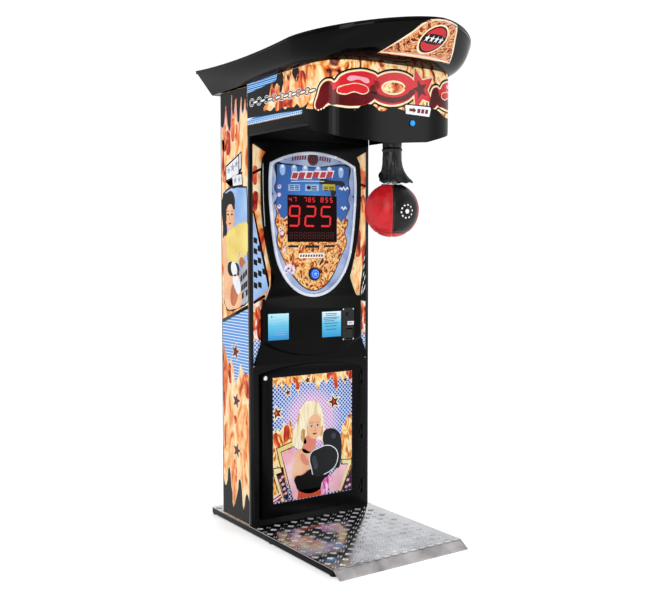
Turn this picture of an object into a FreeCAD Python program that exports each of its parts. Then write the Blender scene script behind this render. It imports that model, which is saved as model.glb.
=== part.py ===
import FreeCAD, Part
import math
import os

# Boxing punch machine, in millimetres.
# The player stands on the -Y side and faces +Y, +X is on the player's right, +Z is up.
# The origin is on the floor under the middle of the machine's overall box.

V = FreeCAD.Vector
X, Y, Z = V(1, 0, 0), V(0, 1, 0), V(0, 0, 1)

# ---- driving dimensions ----
LENGTH = 1346.0                     # nose of the roof to the back edge of the deck
HALF_LENGTH = LENGTH / 2
DECK_HALF = 350.0                   # half width of the standing deck
DECK_TOP = 35.0
DECK_SHEET = 3.0
DECK_FRONT = -416.0                 # front edge of the level part of the deck
RAMP_FOOT = -468.0                  # where the folded nose meets the floor
PAD = 4.0                           # rubber pads under the frame

CAB_HALF = 342.0                    # half width of the cabinet
CAB_FRONT = 278.0
CAB_BACK = 561.0
CAB_TOP = 2090.0
BOARD = 15.0                        # plywood thickness
POST = 17.0                         # width of the corner posts
POST_DEPTH = 18.0
FACE = CAB_FRONT + 1.0              # front face of the front board

HEAD_HALF = 352.0                   # half width of the head's printed skin
HEAD_BOTTOM = 1860.0
HEAD_STRAIGHT = -130.0              # the skin's sides are straight back from here
HEAD_DEPTH = 281.0                  # depth of its rounded front
HEAD_POWER = 4.0                    # squareness of that front
LIP_TOP = 1910.0
LIP_WALL = 8.0
PLATE_BOTTOM = 1906.0               # glossy underside plate
PLATE_TOP = 1912.0
SKIN = 4.0

ROOF_BACK = 620.0
ROOF_LOW_HALF = 357.0
ROOF_TOP_HALF = 446.0
ROOF_STRAIGHT = -229.0
ROOF_DEPTH = HALF_LENGTH + ROOF_STRAIGHT   # the pointed nose reaches the front of the box
ROOF_POWER = 1.63
ROOF_WALL = 5.0
ROOF_BULGE = 25.0                   # how far the flared side swells
BADGE_X = 22.0                      # middle of the badge on the nose
ROOF_CUT = 2280.0                   # level the flared side is drawn to before the rim is cut
RIM_BACK = 2199.5                   # rim height at the back
RIM_MID = 2200.0                    # rim height 770 mm further forward
RIM_NOSE = 2257.0                   # overall height of the machine

PIVOT = V(0, -350.0, 1945.0)        # axis of the swinging arm, along X
SWING = 66.0                        # the sleeve meets the buffer here
RAIL_BOTTOM = 1990.0                # underside of the steel frame that carries the arm
BALL_CENTRE_Z = 1516.0
BALL_R = 117.0
SHAFT_R = 12.5
RUN_GAP = 0.05                      # radial running clearance

SHIELD_FRONT = 262.0                # face of the moulded shield
CONSOLE_FRONT = 252.0               # face of the coin console
WINDOW_X = 135.0                    # right edge of the score window
WINDOW_LEFT = 150.0                 # its left edge, this far left of the middle
WINDOW_Z = (1376.0, 1599.0)
SELECT_Z = 1222.0                   # height of the select button
SELECT_R = 24.0                     # radius of its cap
START_X, START_Z = 58.0, 1877.0     # place of the start button
START_HOLE = 14.2                   # radius of its hole in the lip
DOOR_HALF = 290.0
DOOR_HOLE = 284.0                   # half width of the hole that the door closes
DOOR_BOTTOM, DOOR_SIDE_TOP, DOOR_MID_TOP = 58.0, 750.0, 785.0
PICTURE_HALF = 231.0
PICTURE_Z = (125.0, 733.0)
HINGE_AXIS = V(297.0, 262.0, 0)
COIN_X = (160.0, 232.0)
COIN_Z = (889.0, 1050.0)
SLOT_CENTRE = V(209.0, 0, 974.5)


# ---- solids ----
def box(x0, x1, y0, y1, z0, z1):
    return Part.makeBox(x1 - x0, y1 - y0, z1 - z0, V(x0, y0, z0))


def rod(base, axis, radius, length):
    return Part.makeCylinder(radius, length, base, axis)


def tube(base, axis, outer, inner, length):
    return rod(base, axis, outer, length).cut(rod(base, axis, inner, length))


def mirrored(shape):
    return shape.mirror(V(0, 0, 0), X)


def both_sides(shape):
    return [shape, mirrored(shape)]


def outline(start, *steps):
    """A closed face in the XZ plane. A step is a point, or (middle, end) for an arc."""
    edges = []
    here = V(start[0], 0, start[1])
    for step in list(steps) + [start]:
        if isinstance(step[0], tuple):
            middle, end = [V(p[0], 0, p[1]) for p in step]
            edges.append(Part.Arc(here, middle, end).toShape())
        else:
            end = V(step[0], 0, step[1])
            if end.distanceToPoint(here) < 1e-6:
                continue
            edges.append(Part.makeLine(here, end))
        here = end
    return Part.Face(Part.Wire(edges))


def slab(face, y0, y1):
    """An XZ face made into a plate between two Y planes."""
    moved = face.copy()
    moved.translate(V(0, y0, 0))
    return moved.extrude(V(0, y1 - y0, 0))


def side_prism(points, half):
    """A YZ outline made into a prism of the given half width about X = 0."""
    wire = Part.makePolygon([V(-half, y, z) for y, z in points + points[:1]])
    return Part.Face(wire).extrude(V(2 * half, 0, 0))


def square_tube(x0, x1, y0, y1, z0, z1, wall, along):
    """A box section, hollow along one of x, y, z."""
    inner = [x0 + wall, x1 - wall, y0 + wall, y1 - wall, z0 + wall, z1 - wall]
    i = "xyz".index(along) * 2
    inner[i], inner[i + 1] = (x0, y0, z0)[i // 2], (x1, y1, z1)[i // 2]
    return box(x0, x1, y0, y1, z0, z1).cut(box(*inner))


def save(name, *shapes):
    shape = shapes[0] if len(shapes) == 1 else Part.makeCompound(list(shapes))
    shape.exportStep("parts/" + name + ".step")
    print(name, "valid" if shape.isValid() else "BAD", "solids", len(shape.Solids),
          "cm3 %.1f" % (shape.Volume / 1000))


# ---- plan outlines of the head ----
def bow_point(half, depth, power, angle):
    """A point of a superellipse about (0, 0); angle -180..0 runs from -X round the front to +X."""
    c = abs(math.cos(math.radians(angle)))
    s = abs(math.sin(math.radians(angle)))
    reach = ((c / half) ** power + (s / depth) ** power) ** (-1 / power)
    return reach * math.cos(math.radians(angle)), reach * math.sin(math.radians(angle))


BOW_STEP = 7.5
BOW_ANGLES = [-180 + BOW_STEP * i for i in range(int(180 / BOW_STEP) + 1)]


def bow_wire(bow, back_left, back_right):
    """Closed wire: straight side, rounded front through the points, straight side, straight back."""
    front = Part.BSplineCurve()
    front.interpolate(bow)
    return Part.Wire([Part.makeLine(back_left, bow[0]), front.toShape(),
                      Part.makeLine(bow[-1], back_right), Part.makeLine(back_right, back_left)])


def head_wire(inset, z, back):
    half = HEAD_HALF - inset
    bow = []
    for angle in BOW_ANGLES:
        x, y = bow_point(half, HEAD_DEPTH - inset, HEAD_POWER, angle)
        bow.append(V(x, HEAD_STRAIGHT + y, z))
    return bow_wire(bow, V(-half, back, z), V(half, back, z))


def head_prism(inset, z0, z1, back=CAB_FRONT):
    return Part.Face(head_wire(inset, z0, back)).extrude(V(0, 0, z1 - z0))


def roof_low_z(y):
    """The roof's lower rim lies in a plane that rises gently to the front."""
    return 2090.5 + 0.0215 * (600.0 - y)


def rim_z(y):
    """Height of the roof's upper rim: nearly level at the back, sweeping up to the nose."""
    run = ROOF_BACK - y
    mid, nose = 770.0, ROOF_BACK + HALF_LENGTH
    rise_mid, rise_nose = RIM_MID - RIM_BACK, RIM_NOSE - RIM_BACK
    b = (rise_nose / nose - rise_mid / mid) / (nose - mid)
    a = rise_mid / mid - b * mid
    return RIM_BACK + a * run + b * run * run


def roof_flare(inset):
    """Solid inside the roof's flared side, drawn on to a level plane above the rim."""
    sections = [[], [], [], []]

    def add(low_xy, rim_xy, bulge):
        start = V(low_xy[0], low_xy[1], roof_low_z(low_xy[1]))
        rim = V(rim_xy[0], rim_xy[1], rim_z(rim_xy[1]))
        run = rim - start
        flat = V(run.x, run.y, 0)
        out = V(flat.x, flat.y, 0).normalize() * run.z - Z * flat.Length
        out.normalize()
        for section, t in zip(sections[:3], (0.0, 0.36, 0.7)):
            section.append(start + run * t + out * (4 * bulge * t * (1 - t)))
        last = sections[2][-1]
        sections[3].append(last + (rim - last) * ((ROOF_CUT - last.z) / (rim.z - last.z)))

    for angle in BOW_ANGLES:
        a = bow_point(ROOF_LOW_HALF - inset, HEAD_DEPTH + 3 - inset, HEAD_POWER, angle)
        b = bow_point(ROOF_TOP_HALF - inset, ROOF_DEPTH - inset, ROOF_POWER, angle)
        add((a[0], HEAD_STRAIGHT + a[1]), (b[0], ROOF_STRAIGHT + b[1]),
            ROOF_BULGE)
    back = ROOF_BACK - inset
    for side in (-1, 1):
        add((side * (ROOF_LOW_HALF - inset), back), (side * (ROOF_TOP_HALF - inset), back), 0.0)
    wires = [bow_wire(points[:-2], points[-2], points[-1]) for points in sections]
    return Part.makeLoft(wires, True, True)


def under_rim(drop, thickness):
    """A curved sheet that follows the rim, its top 'drop' below it."""
    ys = [ROOF_BACK + 40 - i * (LENGTH + 80) / 24 for i in range(25)]
    top = [(y, rim_z(y) - drop) for y in ys]
    bottom = [(y, z - thickness) for y, z in reversed(top)]
    edges = [Part.BSplineCurve(), Part.BSplineCurve()]
    half = ROOF_TOP_HALF + 200
    for curve, points in zip(edges, (top, bottom)):
        curve.interpolate([V(-half, y, z) for y, z in points])
    ends = [V(-half, p[0], p[1]) for p in (top[0], top[-1], bottom[0], bottom[-1])]
    wire = Part.Wire([edges[0].toShape(), Part.makeLine(ends[1], ends[2]),
                      edges[1].toShape(), Part.makeLine(ends[3], ends[0])])
    return Part.Face(wire).extrude(V(2 * half, 0, 0))


def crowned(half, low, side_top, mid_top):
    """XZ face of the door: upright sides and an arched top."""
    return outline((-half, low), (half, low), (half, side_top), ((0, mid_top), (-half, side_top)))


# ---- deck ----
def deck():
    frame_top = DECK_TOP - DECK_SHEET
    half, back, front, tube_w = DECK_HALF - 2, HALF_LENGTH - 2, DECK_FRONT + 4, 30.0
    frame = box(-half, half, front, back, PAD, frame_top)
    bays = [front, -60.0, CAB_FRONT - 10, back - tube_w]
    for y0, y1 in zip(bays[:-1], bays[1:]):
        frame = frame.cut(box(-half + tube_w, half - tube_w, y0 + tube_w, y1, 0, DECK_TOP))
    save("base_frame", frame)
    pads = [rod(V(x, y, 0), Z, 18.0, PAD) for x in (-330, 330) for y in (-395, 100, 655)]
    save("foot_pads", *pads)
    drop = DECK_TOP - DECK_SHEET
    nose = DECK_SHEET * 1.55
    profile = [(HALF_LENGTH, drop), (HALF_LENGTH, DECK_TOP), (DECK_FRONT, DECK_TOP), (RAMP_FOOT, 0),
               (RAMP_FOOT + nose, 0), (DECK_FRONT + 0.6, drop)]
    save("deck_plate", side_prism(profile, DECK_HALF))


# ---- cabinet ----
def cabinet():
    inner = CAB_HALF - BOARD
    side_front = CAB_FRONT + POST_DEPTH
    side = box(inner, CAB_HALF, side_front, CAB_BACK - 6, DECK_TOP, CAB_TOP)
    save("side_panel_right", side)
    save("side_panel_left", mirrored(side))
    post = square_tube(CAB_HALF - POST, CAB_HALF, CAB_FRONT, side_front, DECK_TOP, CAB_TOP, 2, "z")
    save("corner_post_right", post)
    save("corner_post_left", mirrored(post))
    edge = box(inner, CAB_HALF, CAB_BACK - 6, CAB_BACK, DECK_TOP, CAB_TOP)
    save("rear_edge_strips", *both_sides(edge))
    inlet = box(-232, -168, CAB_BACK - 20, CAB_BACK, 128, 172)
    back = box(-inner, inner, CAB_BACK - BOARD, CAB_BACK, DECK_TOP, CAB_TOP).cut(inlet)
    save("rear_panel", back)
    top = box(-inner, inner, side_front, CAB_BACK - BOARD, CAB_TOP - BOARD, CAB_TOP)
    save("cabinet_top", top)
    shelf = box(-inner, inner, FACE + BOARD + 25, CAB_BACK - BOARD, 330, 330 + BOARD)
    save("cash_shelf", shelf)

    half = CAB_HALF - POST
    board = box(-half, half, FACE, FACE + BOARD, DECK_TOP, RAIL_BOTTOM - 4)
    door_hole = crowned(DOOR_HOLE, DOOR_BOTTOM + 4, DOOR_SIDE_TOP - 4, DOOR_MID_TOP - 4)
    board = board.cut(slab(door_hole, FACE - 1, FACE + BOARD + 1))
    board = board.cut(box(-165, 165, FACE - 1, FACE + BOARD + 1, 1356, 1619))
    board = board.cut(box(-155, 235, FACE - 1, FACE + BOARD + 1, 885, 1055))
    board = board.cut(rod(V(0, FACE - 1, SELECT_Z), Y, SELECT_R + 5, BOARD + 2))
    save("front_board", board)


# ---- head ----
def head():
    lip = head_prism(0, HEAD_BOTTOM + 8, LIP_TOP)
    lip = lip.fuse(Part.makeLoft([head_wire(5, HEAD_BOTTOM, CAB_FRONT),
                                  head_wire(0, HEAD_BOTTOM + 8, CAB_FRONT)], True, True))
    lip = lip.cut(head_prism(LIP_WALL, HEAD_BOTTOM - 1, LIP_TOP + 1, CAB_FRONT + 5))
    ledge = head_prism(LIP_WALL - 1, PLATE_BOTTOM - 7, PLATE_BOTTOM)
    ledge = ledge.cut(head_prism(22, PLATE_BOTTOM - 8, PLATE_BOTTOM + 1, CAB_FRONT + 5))
    lip = lip.fuse(ledge).removeSplitter()
    lip = lip.cut(rod(V(START_X, HEAD_STRAIGHT - HEAD_DEPTH - 20, START_Z), Y, START_HOLE, 60))
    save("head_lip", lip)

    plate = head_prism(LIP_WALL + 0.4, PLATE_BOTTOM, PLATE_TOP, CAB_FRONT - SKIN - 1)
    save("underside_plate", plate.cut(box(-56, 56, -398, -142, PLATE_BOTTOM - 1, PLATE_TOP + 1)))

    skin = head_prism(0, LIP_TOP, CAB_TOP + 60)
    skin = skin.cut(head_prism(SKIN, LIP_TOP - 1, CAB_TOP + 61, CAB_FRONT - SKIN))
    skin = skin.cut(box(-CAB_HALF + 15, CAB_HALF - 15, 200, CAB_FRONT + 1, LIP_TOP - 1, CAB_TOP + 61))
    top = side_prism([(y, roof_low_z(y)) for y in (-500, 300)] + [(300, 2300), (-500, 2300)], 400)
    save("fascia_skin", skin.cut(top))

    ys = (-560.0, ROOF_BACK + 5)
    floor = side_prism([(ys[0], roof_low_z(ys[0]) - 9), (ys[1], roof_low_z(ys[1]) - 9),
                        (ys[1], roof_low_z(ys[1]) + 3), (ys[0], roof_low_z(ys[0]) + 3)], 400)
    canopy = roof_flare(0).cut(roof_flare(ROOF_WALL).cut(floor)).cut(under_rim(-200, 200))
    canopy = canopy.cut(box(-CAB_HALF, CAB_HALF, 200, CAB_BACK, 2000, 2200))
    save("roof_canopy", canopy.cut(head_prism(SKIN, 2000, 2200)))
    save("roof_lid", under_rim(16, 4).common(roof_flare(ROOF_WALL + 0.3)))
    c = BADGE_X
    bell = outline((c - 196, 2131), ((c, 2136.5), (c + 196, 2131)), ((c + 156, 2170), (c + 121, 2203)),
                   ((c + 110, 2220), (c + 98, 2233)), ((c + 75, 2248), (c + 40, 2253)),
                   ((c, 2255), (c - 40, 2253)), ((c - 75, 2248), (c - 98, 2233)),
                   ((c - 110, 2220), (c - 121, 2203)), ((c - 156, 2170), (c - 196, 2131)))
    badge = slab(bell, -HALF_LENGTH - 20, -380).common(roof_flare(-3)).cut(roof_flare(0))
    save("roof_badge", badge.common(box(-200, 260, -HALF_LENGTH, -380, 2100, RIM_NOSE)))

    size, wall = 40.0, 3.0
    low, high = RAIL_BOTTOM, RAIL_BOTTOM + size
    outer = CAB_HALF - POST
    rail = square_tube(outer - size, outer, -300, 540, low, high, wall, "y")
    frame = rail.fuse(mirrored(rail))
    for y, reach in ((-320, 300), (CAB_FRONT + POST_DEPTH + 4, CAB_HALF - BOARD), (500, CAB_HALF - BOARD)):
        frame = frame.fuse(square_tube(-reach, reach, y, y + size, low, high, wall, "x"))
    cheek = box(90, 98, -385, -281, PLATE_TOP + 2, high)
    cheek = cheek.cut(rod(V(80, PIVOT.y, PIVOT.z), X, 20, 30))
    frame = frame.fuse(cheek).fuse(mirrored(cheek))
    frame = frame.fuse(rod(V(57, LATCH.y, LATCH.z), X, 3, 33))
    save("head_frame", frame.removeSplitter())


# ---- moulded front ----
SHIELD_SIDE = [(284, 1690), (284, 1600), (279, 1497), (263, 1388), (239, 1280), (217, 1206)]


def shield_face(inset):
    """Hood, shield, waist, console flanks and lower flare as one outline."""
    side = [V(x - inset, 0, z) for x, z in SHIELD_SIDE]
    right = Part.BSplineCurve()
    right.interpolate(side)
    top, low, full = CAB_TOP - 232, 797 + inset, CAB_HALF - POST - inset
    run = [V(full, 0, low), V(full, 0, 803), V(287 - inset, 0, 900), V(287 - inset, 0, 1058)]
    lead = [side[0], V(276 - inset, 0, 1764), V(258 - inset, 0, 1795 + inset), V(full, 0, 1829 + inset),
            V(full, 0, top - inset)]
    waist = Part.Arc(run[-1], V(243 - inset, 0, 1138), side[-1]).toShape()
    edges = [Part.makeLine(a, b) for a, b in zip(run[:-1], run[1:])] + [waist, right.toShape()]
    edges += [Part.makeLine(a, b) for a, b in zip(lead[:-1], lead[1:])]
    left = [e.mirror(V(0, 0, 0), X) for e in edges]
    edges += [Part.makeLine(lead[-1], V(-lead[-1].x, 0, lead[-1].z))] + left[::-1]
    edges.append(Part.makeLine(V(-full, 0, low), run[0]))
    return Part.Face(Part.Wire(Part.sortEdges(edges)[0]))


def console_wire(half, top, side_low, mid_low, y):
    face = outline((-half, top), (half, top), (half, side_low), ((0, mid_low), (-half, side_low)))
    wire = face.OuterWire
    wire.translate(V(0, y, 0))
    return wire


def bezel_face(inset):
    """Outline of the display: arched top, straight sides running in to a rounded foot."""
    half, sharp = 243 - inset, 1746 - inset * 0.6
    side = [V(half, 0, sharp), V(250 - inset, 0, 1600), V(243 - inset, 0, 1500),
            V(230 - inset, 0, 1385), V(207 - inset, 0, 1281 + inset * 0.3),
            V(161 - inset * 0.8, 0, 1196 + inset * 0.6),
            V(94 - inset * 0.5, 0, 1136 + inset * 0.9), V(0, 0, 1111 + inset)]
    full = side + [V(-p.x, 0, p.z) for p in side[-2::-1]]
    low = Part.BSplineCurve()
    low.interpolate(full)
    top = Part.Arc(full[-1], V(0, 0, 1807 - inset), full[0]).toShape()
    return Part.Face(Part.Wire([low.toShape(), top]))


def front_moulding():
    wall = 4.0
    shell = slab(shield_face(0), SHIELD_FRONT, FACE).cut(slab(shield_face(wall), SHIELD_FRONT + wall, FACE))
    outer = Part.makeLoft([console_wire(286, 1110, 897, 824, SHIELD_FRONT + 1),
                           console_wire(274, 1060, 908, 831, CONSOLE_FRONT)], True, True)
    base = console_wire(286 - wall, 1110 - wall, 897 + wall, 824 + wall, SHIELD_FRONT + wall + 1)
    face = console_wire(274 - wall, 1060 - wall, 908 + wall, 831 + wall, CONSOLE_FRONT + wall)
    inner = Part.makeLoft([base, face], True, True)
    shell = shell.fuse(outer).cut(inner)
    shell = shell.cut(box(-WINDOW_LEFT - 7, WINDOW_X + 7, SHIELD_FRONT - 1, FACE + 1,
                          WINDOW_Z[0] - 6, WINDOW_Z[1] + 6))
    shell = shell.cut(rod(V(0, SHIELD_FRONT - 1, SELECT_Z), Y, SELECT_R + 2.6, 30))
    coin = (COIN_X[0] + 6, COIN_X[1] - 6, CONSOLE_FRONT - 1, CONSOLE_FRONT + wall + 1)
    shell = shell.cut(box(coin[0], coin[1], coin[2], coin[3], 955, 1040))
    shell = shell.cut(box(181.6, 230.4, coin[2], coin[3], 892.6, 950.4))
    save("front_moulding", shell.removeSplitter())


def display():
    hole = box(-WINDOW_LEFT, WINDOW_X, SHIELD_FRONT - 20, FACE, WINDOW_Z[0], WINDOW_Z[1])
    button = rod(V(0, SHIELD_FRONT - 20, SELECT_Z), Y, SELECT_R + 2.6, 40)
    panel = slab(bezel_face(4.3), SHIELD_FRONT - 4, SHIELD_FRONT).cut(hole).cut(button)
    save("display_panel", panel)
    ring = slab(bezel_face(0), SHIELD_FRONT - 9, SHIELD_FRONT)
    ring = ring.cut(slab(bezel_face(4), SHIELD_FRONT - 4, SHIELD_FRONT))
    ring = ring.cut(slab(bezel_face(13), SHIELD_FRONT - 10, SHIELD_FRONT))
    save("display_bezel", ring)
    inside = box(-WINDOW_LEFT + 0.3, WINDOW_X - 0.3, SHIELD_FRONT - 3, SHIELD_FRONT + 1,
                 WINDOW_Z[0] + 0.3, WINDOW_Z[1] - 0.3)
    save("score_window", inside)
    back = SHIELD_FRONT + 14
    save("display_board", box(-160, 160, back, back + 2, 1360, 1615))
    digits = [box(x - 38, x + 38, SHIELD_FRONT + 3, back, 1440, 1565) for x in (-88, 0, 88)]
    small = [box(x - 26, x + 26, SHIELD_FRONT + 3, back, 1572, 1592) for x in (-88, 0, 88)]
    low = [box(x - 40, x + 40, SHIELD_FRONT + 3, back, 1385, 1425) for x in (-60, 60)]
    save("score_digits", *(digits + small + low))


def push_button(name, centre, cap_r, ring, front, barrel):
    """A lit push button pointing to the player: a fixed bezel cup and a cap that travels in it."""
    stem_r = 5.0
    bezel = tube(centre - Y * front, Y, cap_r + ring, cap_r + 0.4, front)
    wall = tube(centre - Y * 0.5, Y, cap_r + 2.2, cap_r + 0.4, 8.5)
    floor = tube(centre + Y * 6, Y, cap_r + 2.2, stem_r + RUN_GAP, 2)
    guide = tube(centre + Y * 7, Y, 9, stem_r + RUN_GAP, barrel)
    save(name + "_bezel", bezel.fuse([wall, floor, guide]).removeSplitter())
    cap = rod(centre - Y * (front + 3), Y, cap_r, front + 4)
    dome = Part.makeCone(cap_r * 0.8, cap_r, 3, centre - Y * (front + 6), Y)
    stem = rod(centre + Y, Y, stem_r, barrel - 4)
    save(name, cap.fuse([dome, stem]).removeSplitter())


def console_fittings():
    y = CONSOLE_FRONT
    save("instruction_card_left", box(-261, -148, y - 1, y, 913, 1038))
    save("instruction_card_right", box(43, 155, y - 1, y, 911, 1036))
    sx, sz = SLOT_CENTRE.x, SLOT_CENTRE.z
    window = box(sx - 16, sx + 16, y - 5, y + 1, sz - 8, sz + 8)
    eject = rod(V(196, y - 10, 1018), Y, 8.3, 20)
    cup_hole = box(183.6, 228.4, y - 5, y + 1, 894.6, 948.4)
    plate = box(COIN_X[0], COIN_X[1], y - 3, y, COIN_Z[0], COIN_Z[1])
    save("coin_entry_plate", plate.cut(window).cut(eject).cut(cup_hole))
    slot = box(sx - 13.5, sx + 13.5, y - 20, y + 30, sz - 2.3, sz + 2.3)
    bezel = box(sx - 18, sx + 18, y - 9, y - 3, sz - 9, sz + 9).fuse(
        box(sx - 15.8, sx + 15.8, y - 3, y + 6, sz - 7.8, sz + 7.8))
    save("coin_slot_bezel", bezel.cut(slot).removeSplitter())
    reject = rod(V(196, y - 8, 1018), Y, 8.2, 20).fuse(rod(V(196, y + 12, 1018), Y, 3, 14))
    save("reject_button", reject)
    cup = box(182, 230, y, y + 54, 893, 950).cut(box(184, 228, y - 1, y + 52, 895, 948))
    save("coin_return_cup", cup.cut(rod(V(190, y + 30, 940), Z, 4, 30)))
    flap = box(186, 226, y - 1, y + 1, 899, 940).fuse(rod(V(184.3, y, 941), X, 3, 43.4))
    save("coin_return_flap", flap.removeSplitter())
    mech = box(168, 224, y + 42, y + 128, 956, 1040)
    mech = mech.cut(box(sx - 14, sx + 14, y + 41, y + 60, sz - 3, sz + 3))
    mech = mech.cut(rod(V(196, y + 41, 1018), Y, 10, 12))
    save("coin_mech", mech)


# ---- lower door ----
def door():
    front, back = FACE - 16, FACE
    outer = slab(crowned(DOOR_HALF, DOOR_BOTTOM, DOOR_SIDE_TOP, DOOR_MID_TOP), front, back)
    wall = 4.0
    hollow = slab(crowned(DOOR_HALF - wall, DOOR_BOTTOM + wall, DOOR_SIDE_TOP - wall, DOOR_MID_TOP - wall),
                  front + wall, back)
    sight = box(-PICTURE_HALF + 8, PICTURE_HALF - 8, front - 1, back, PICTURE_Z[0] + 8, PICTURE_Z[1] - 8)
    well = box(-PICTURE_HALF - wall, PICTURE_HALF + wall, front, front + 2 * wall,
               PICTURE_Z[0] - wall, PICTURE_Z[1] + wall)
    recess = box(-PICTURE_HALF, PICTURE_HALF, front - 1, front + wall, PICTURE_Z[0], PICTURE_Z[1])
    skin = outer.cut(hollow).fuse(well).cut(recess).cut(sight)
    lock_at = V(-272, front, 735)
    lock_r = 8.0
    skin = skin.cut(rod(lock_at - Y * 5, Y, lock_r + 0.1, 30))
    save("door_skin", skin.removeSplitter())
    save("door_picture", box(-PICTURE_HALF + 0.3, PICTURE_HALF - 0.3, front + 1, front + wall,
                             PICTURE_Z[0] + 0.3, PICTURE_Z[1] - 0.3))
    board = crowned(DOOR_HOLE - 3, DOOR_BOTTOM + 7, DOOR_SIDE_TOP - 7, DOOR_MID_TOP - 7)
    save("door_board", slab(board, FACE, FACE + BOARD - 2).cut(rod(lock_at, Y, lock_r + 0.1, 60)))
    lock = rod(lock_at - Y * 3, Y, 10.5, 3).fuse(rod(lock_at, Y, lock_r, 34))
    save("door_lock", lock.cut(box(lock_at.x - 1, lock_at.x + 1, front - 4, front - 1,
                                   lock_at.z - 4, lock_at.z + 4)))
    cam = rod(V(lock_at.x, front + 34, lock_at.z), Y, 10, 3).fuse(
        box(lock_at.x - 7, lock_at.x + 7, front + 34, front + 37, lock_at.z - 40, lock_at.z))
    save("lock_cam", cam.removeSplitter())

    knuckle = 5.0
    ax, ay = HINGE_AXIS.x, HINGE_AXIS.y
    fixed, moving = [], []
    for i, low in enumerate((100, 380, 660)):
        for j in range(3):
            z0 = low + j * 24
            ring = tube(V(ax, ay, z0 + 0.3), Z, knuckle, 2.05 if j != 1 else 2.0, 23.4)
            if j == 1:
                leaf = box(DOOR_HALF - 12, ax, ay - 1, ay + 1, z0 + 0.3, z0 + 23.7)
                leaf = leaf.cut(rod(V(ax, ay, z0), Z, 3, 24))
                moving.append(ring.fuse(leaf).removeSplitter())
            else:
                leaf = box(ax + 2, ax + 4, ay, FACE, z0 + 0.3, z0 + 23.7)
                leaf = leaf.fuse(box(ax + 2, ax + 24, FACE - 2, FACE, z0 + 0.3, z0 + 23.7))
                leaf = leaf.cut(rod(V(ax, ay, z0), Z, 3, 24))
                fixed.append(ring.fuse(leaf).removeSplitter())
        moving.append(rod(V(ax, ay, low), Z, 2.0, 72))
    save("hinge_fixed_leaves", *fixed)
    save("hinge_moving_leaves", *moving)


# ---- swinging arm ----
def arm():
    x = 34.0
    save("pivot_shaft", rod(V(-108, PIVOT.y, PIVOT.z), X, SHAFT_R, 216))
    bearing = tube(V(86, PIVOT.y, PIVOT.z), X, 20, SHAFT_R + RUN_GAP, 16).fuse(
        tube(V(98, PIVOT.y, PIVOT.z), X, 27, SHAFT_R + RUN_GAP, 4)).removeSplitter()
    save("pivot_bearings", *both_sides(bearing))
    foot = V(0, PIVOT.y, 1612)
    limb = rod(V(0, PIVOT.y, 1622), Z, 21, PIVOT.z - 1622)
    limb = limb.fuse([rod(V(-x, PIVOT.y, PIVOT.z), X, 24, 2 * x), rod(foot, Z, 44.5, 10)])
    limb = limb.cut(rod(V(0, PIVOT.y, 1622), Z, 18, PIVOT.z - 1622 - 25))
    save("arm_tube", limb.cut(rod(V(-x - 1, PIVOT.y, PIVOT.z), X, SHAFT_R, 2 * x + 2)).removeSplitter())

    outer = [(43, 1872), (44, 1800), (43, 1771), (46.5, 1766), (44, 1760), (49, 1700), (60, 1665),
             (78, 1637), (79, 1632)]
    inner = [(74, 1632), (56, 1660), (41, 1700), (36, 1760), (36, 1864), (21.2, 1864), (21.2, 1872)]
    wire = Part.makePolygon([V(r, PIVOT.y, z) for r, z in outer + inner + outer[:1]])
    save("arm_sleeve", Part.Face(wire).revolve(V(0, PIVOT.y, 0), Z, 360))

    centre = V(0, PIVOT.y, BALL_CENTRE_Z)
    ball = Part.makeSphere(BALL_R, centre).cut(Part.makeSphere(BALL_R - 6, centre))
    save("ball", ball.cut(rod(centre, Z, 44.8, BALL_R)))


# ---- catch that holds the arm up between games ----
LATCH = V(63, -300.0, 1966.5)
DISC_R = 32.0


def catch():
    disc = tube(V(60, PIVOT.y, PIVOT.z), X, DISC_R, SHAFT_R, 6)
    notch = box(58, 68, PIVOT.y + DISC_R - 7, PIVOT.y + DISC_R + 2, PIVOT.z - 8, PIVOT.z + 1)
    save("latch_disc", disc.cut(notch))
    pawl = [(-270, 1961.5), (-270, 1970.5), (-300, 1975.5), (-330, 1982), (-339, 1979), (-334, 1974.8),
            (-322, 1968.4), (-306, 1961.5)]
    wire = Part.makePolygon([V(60, y, z) for y, z in pawl + pawl[:1]])
    plate = Part.Face(wire).extrude(V(6, 0, 0))
    save("latch_pawl", plate.cut(rod(V(50, LATCH.y, LATCH.z), X, 3 + RUN_GAP, 30)))
    base = V(LATCH.x, -275, PLATE_TOP)
    coil = box(base.x - 12, base.x + 12, base.y - 14, base.y + 14, base.z, base.z + 34)
    save("latch_solenoid", coil.cut(rod(base + V(0, 0, 6), Z, 3.5, 40)))
    save("solenoid_plunger", rod(base + V(0, 0, 16), Z, 3.0, 32))
    buffer = box(-30, 30, -160, -110, PLATE_TOP, PLATE_TOP + 24)
    save("arm_buffer", buffer)


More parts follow.
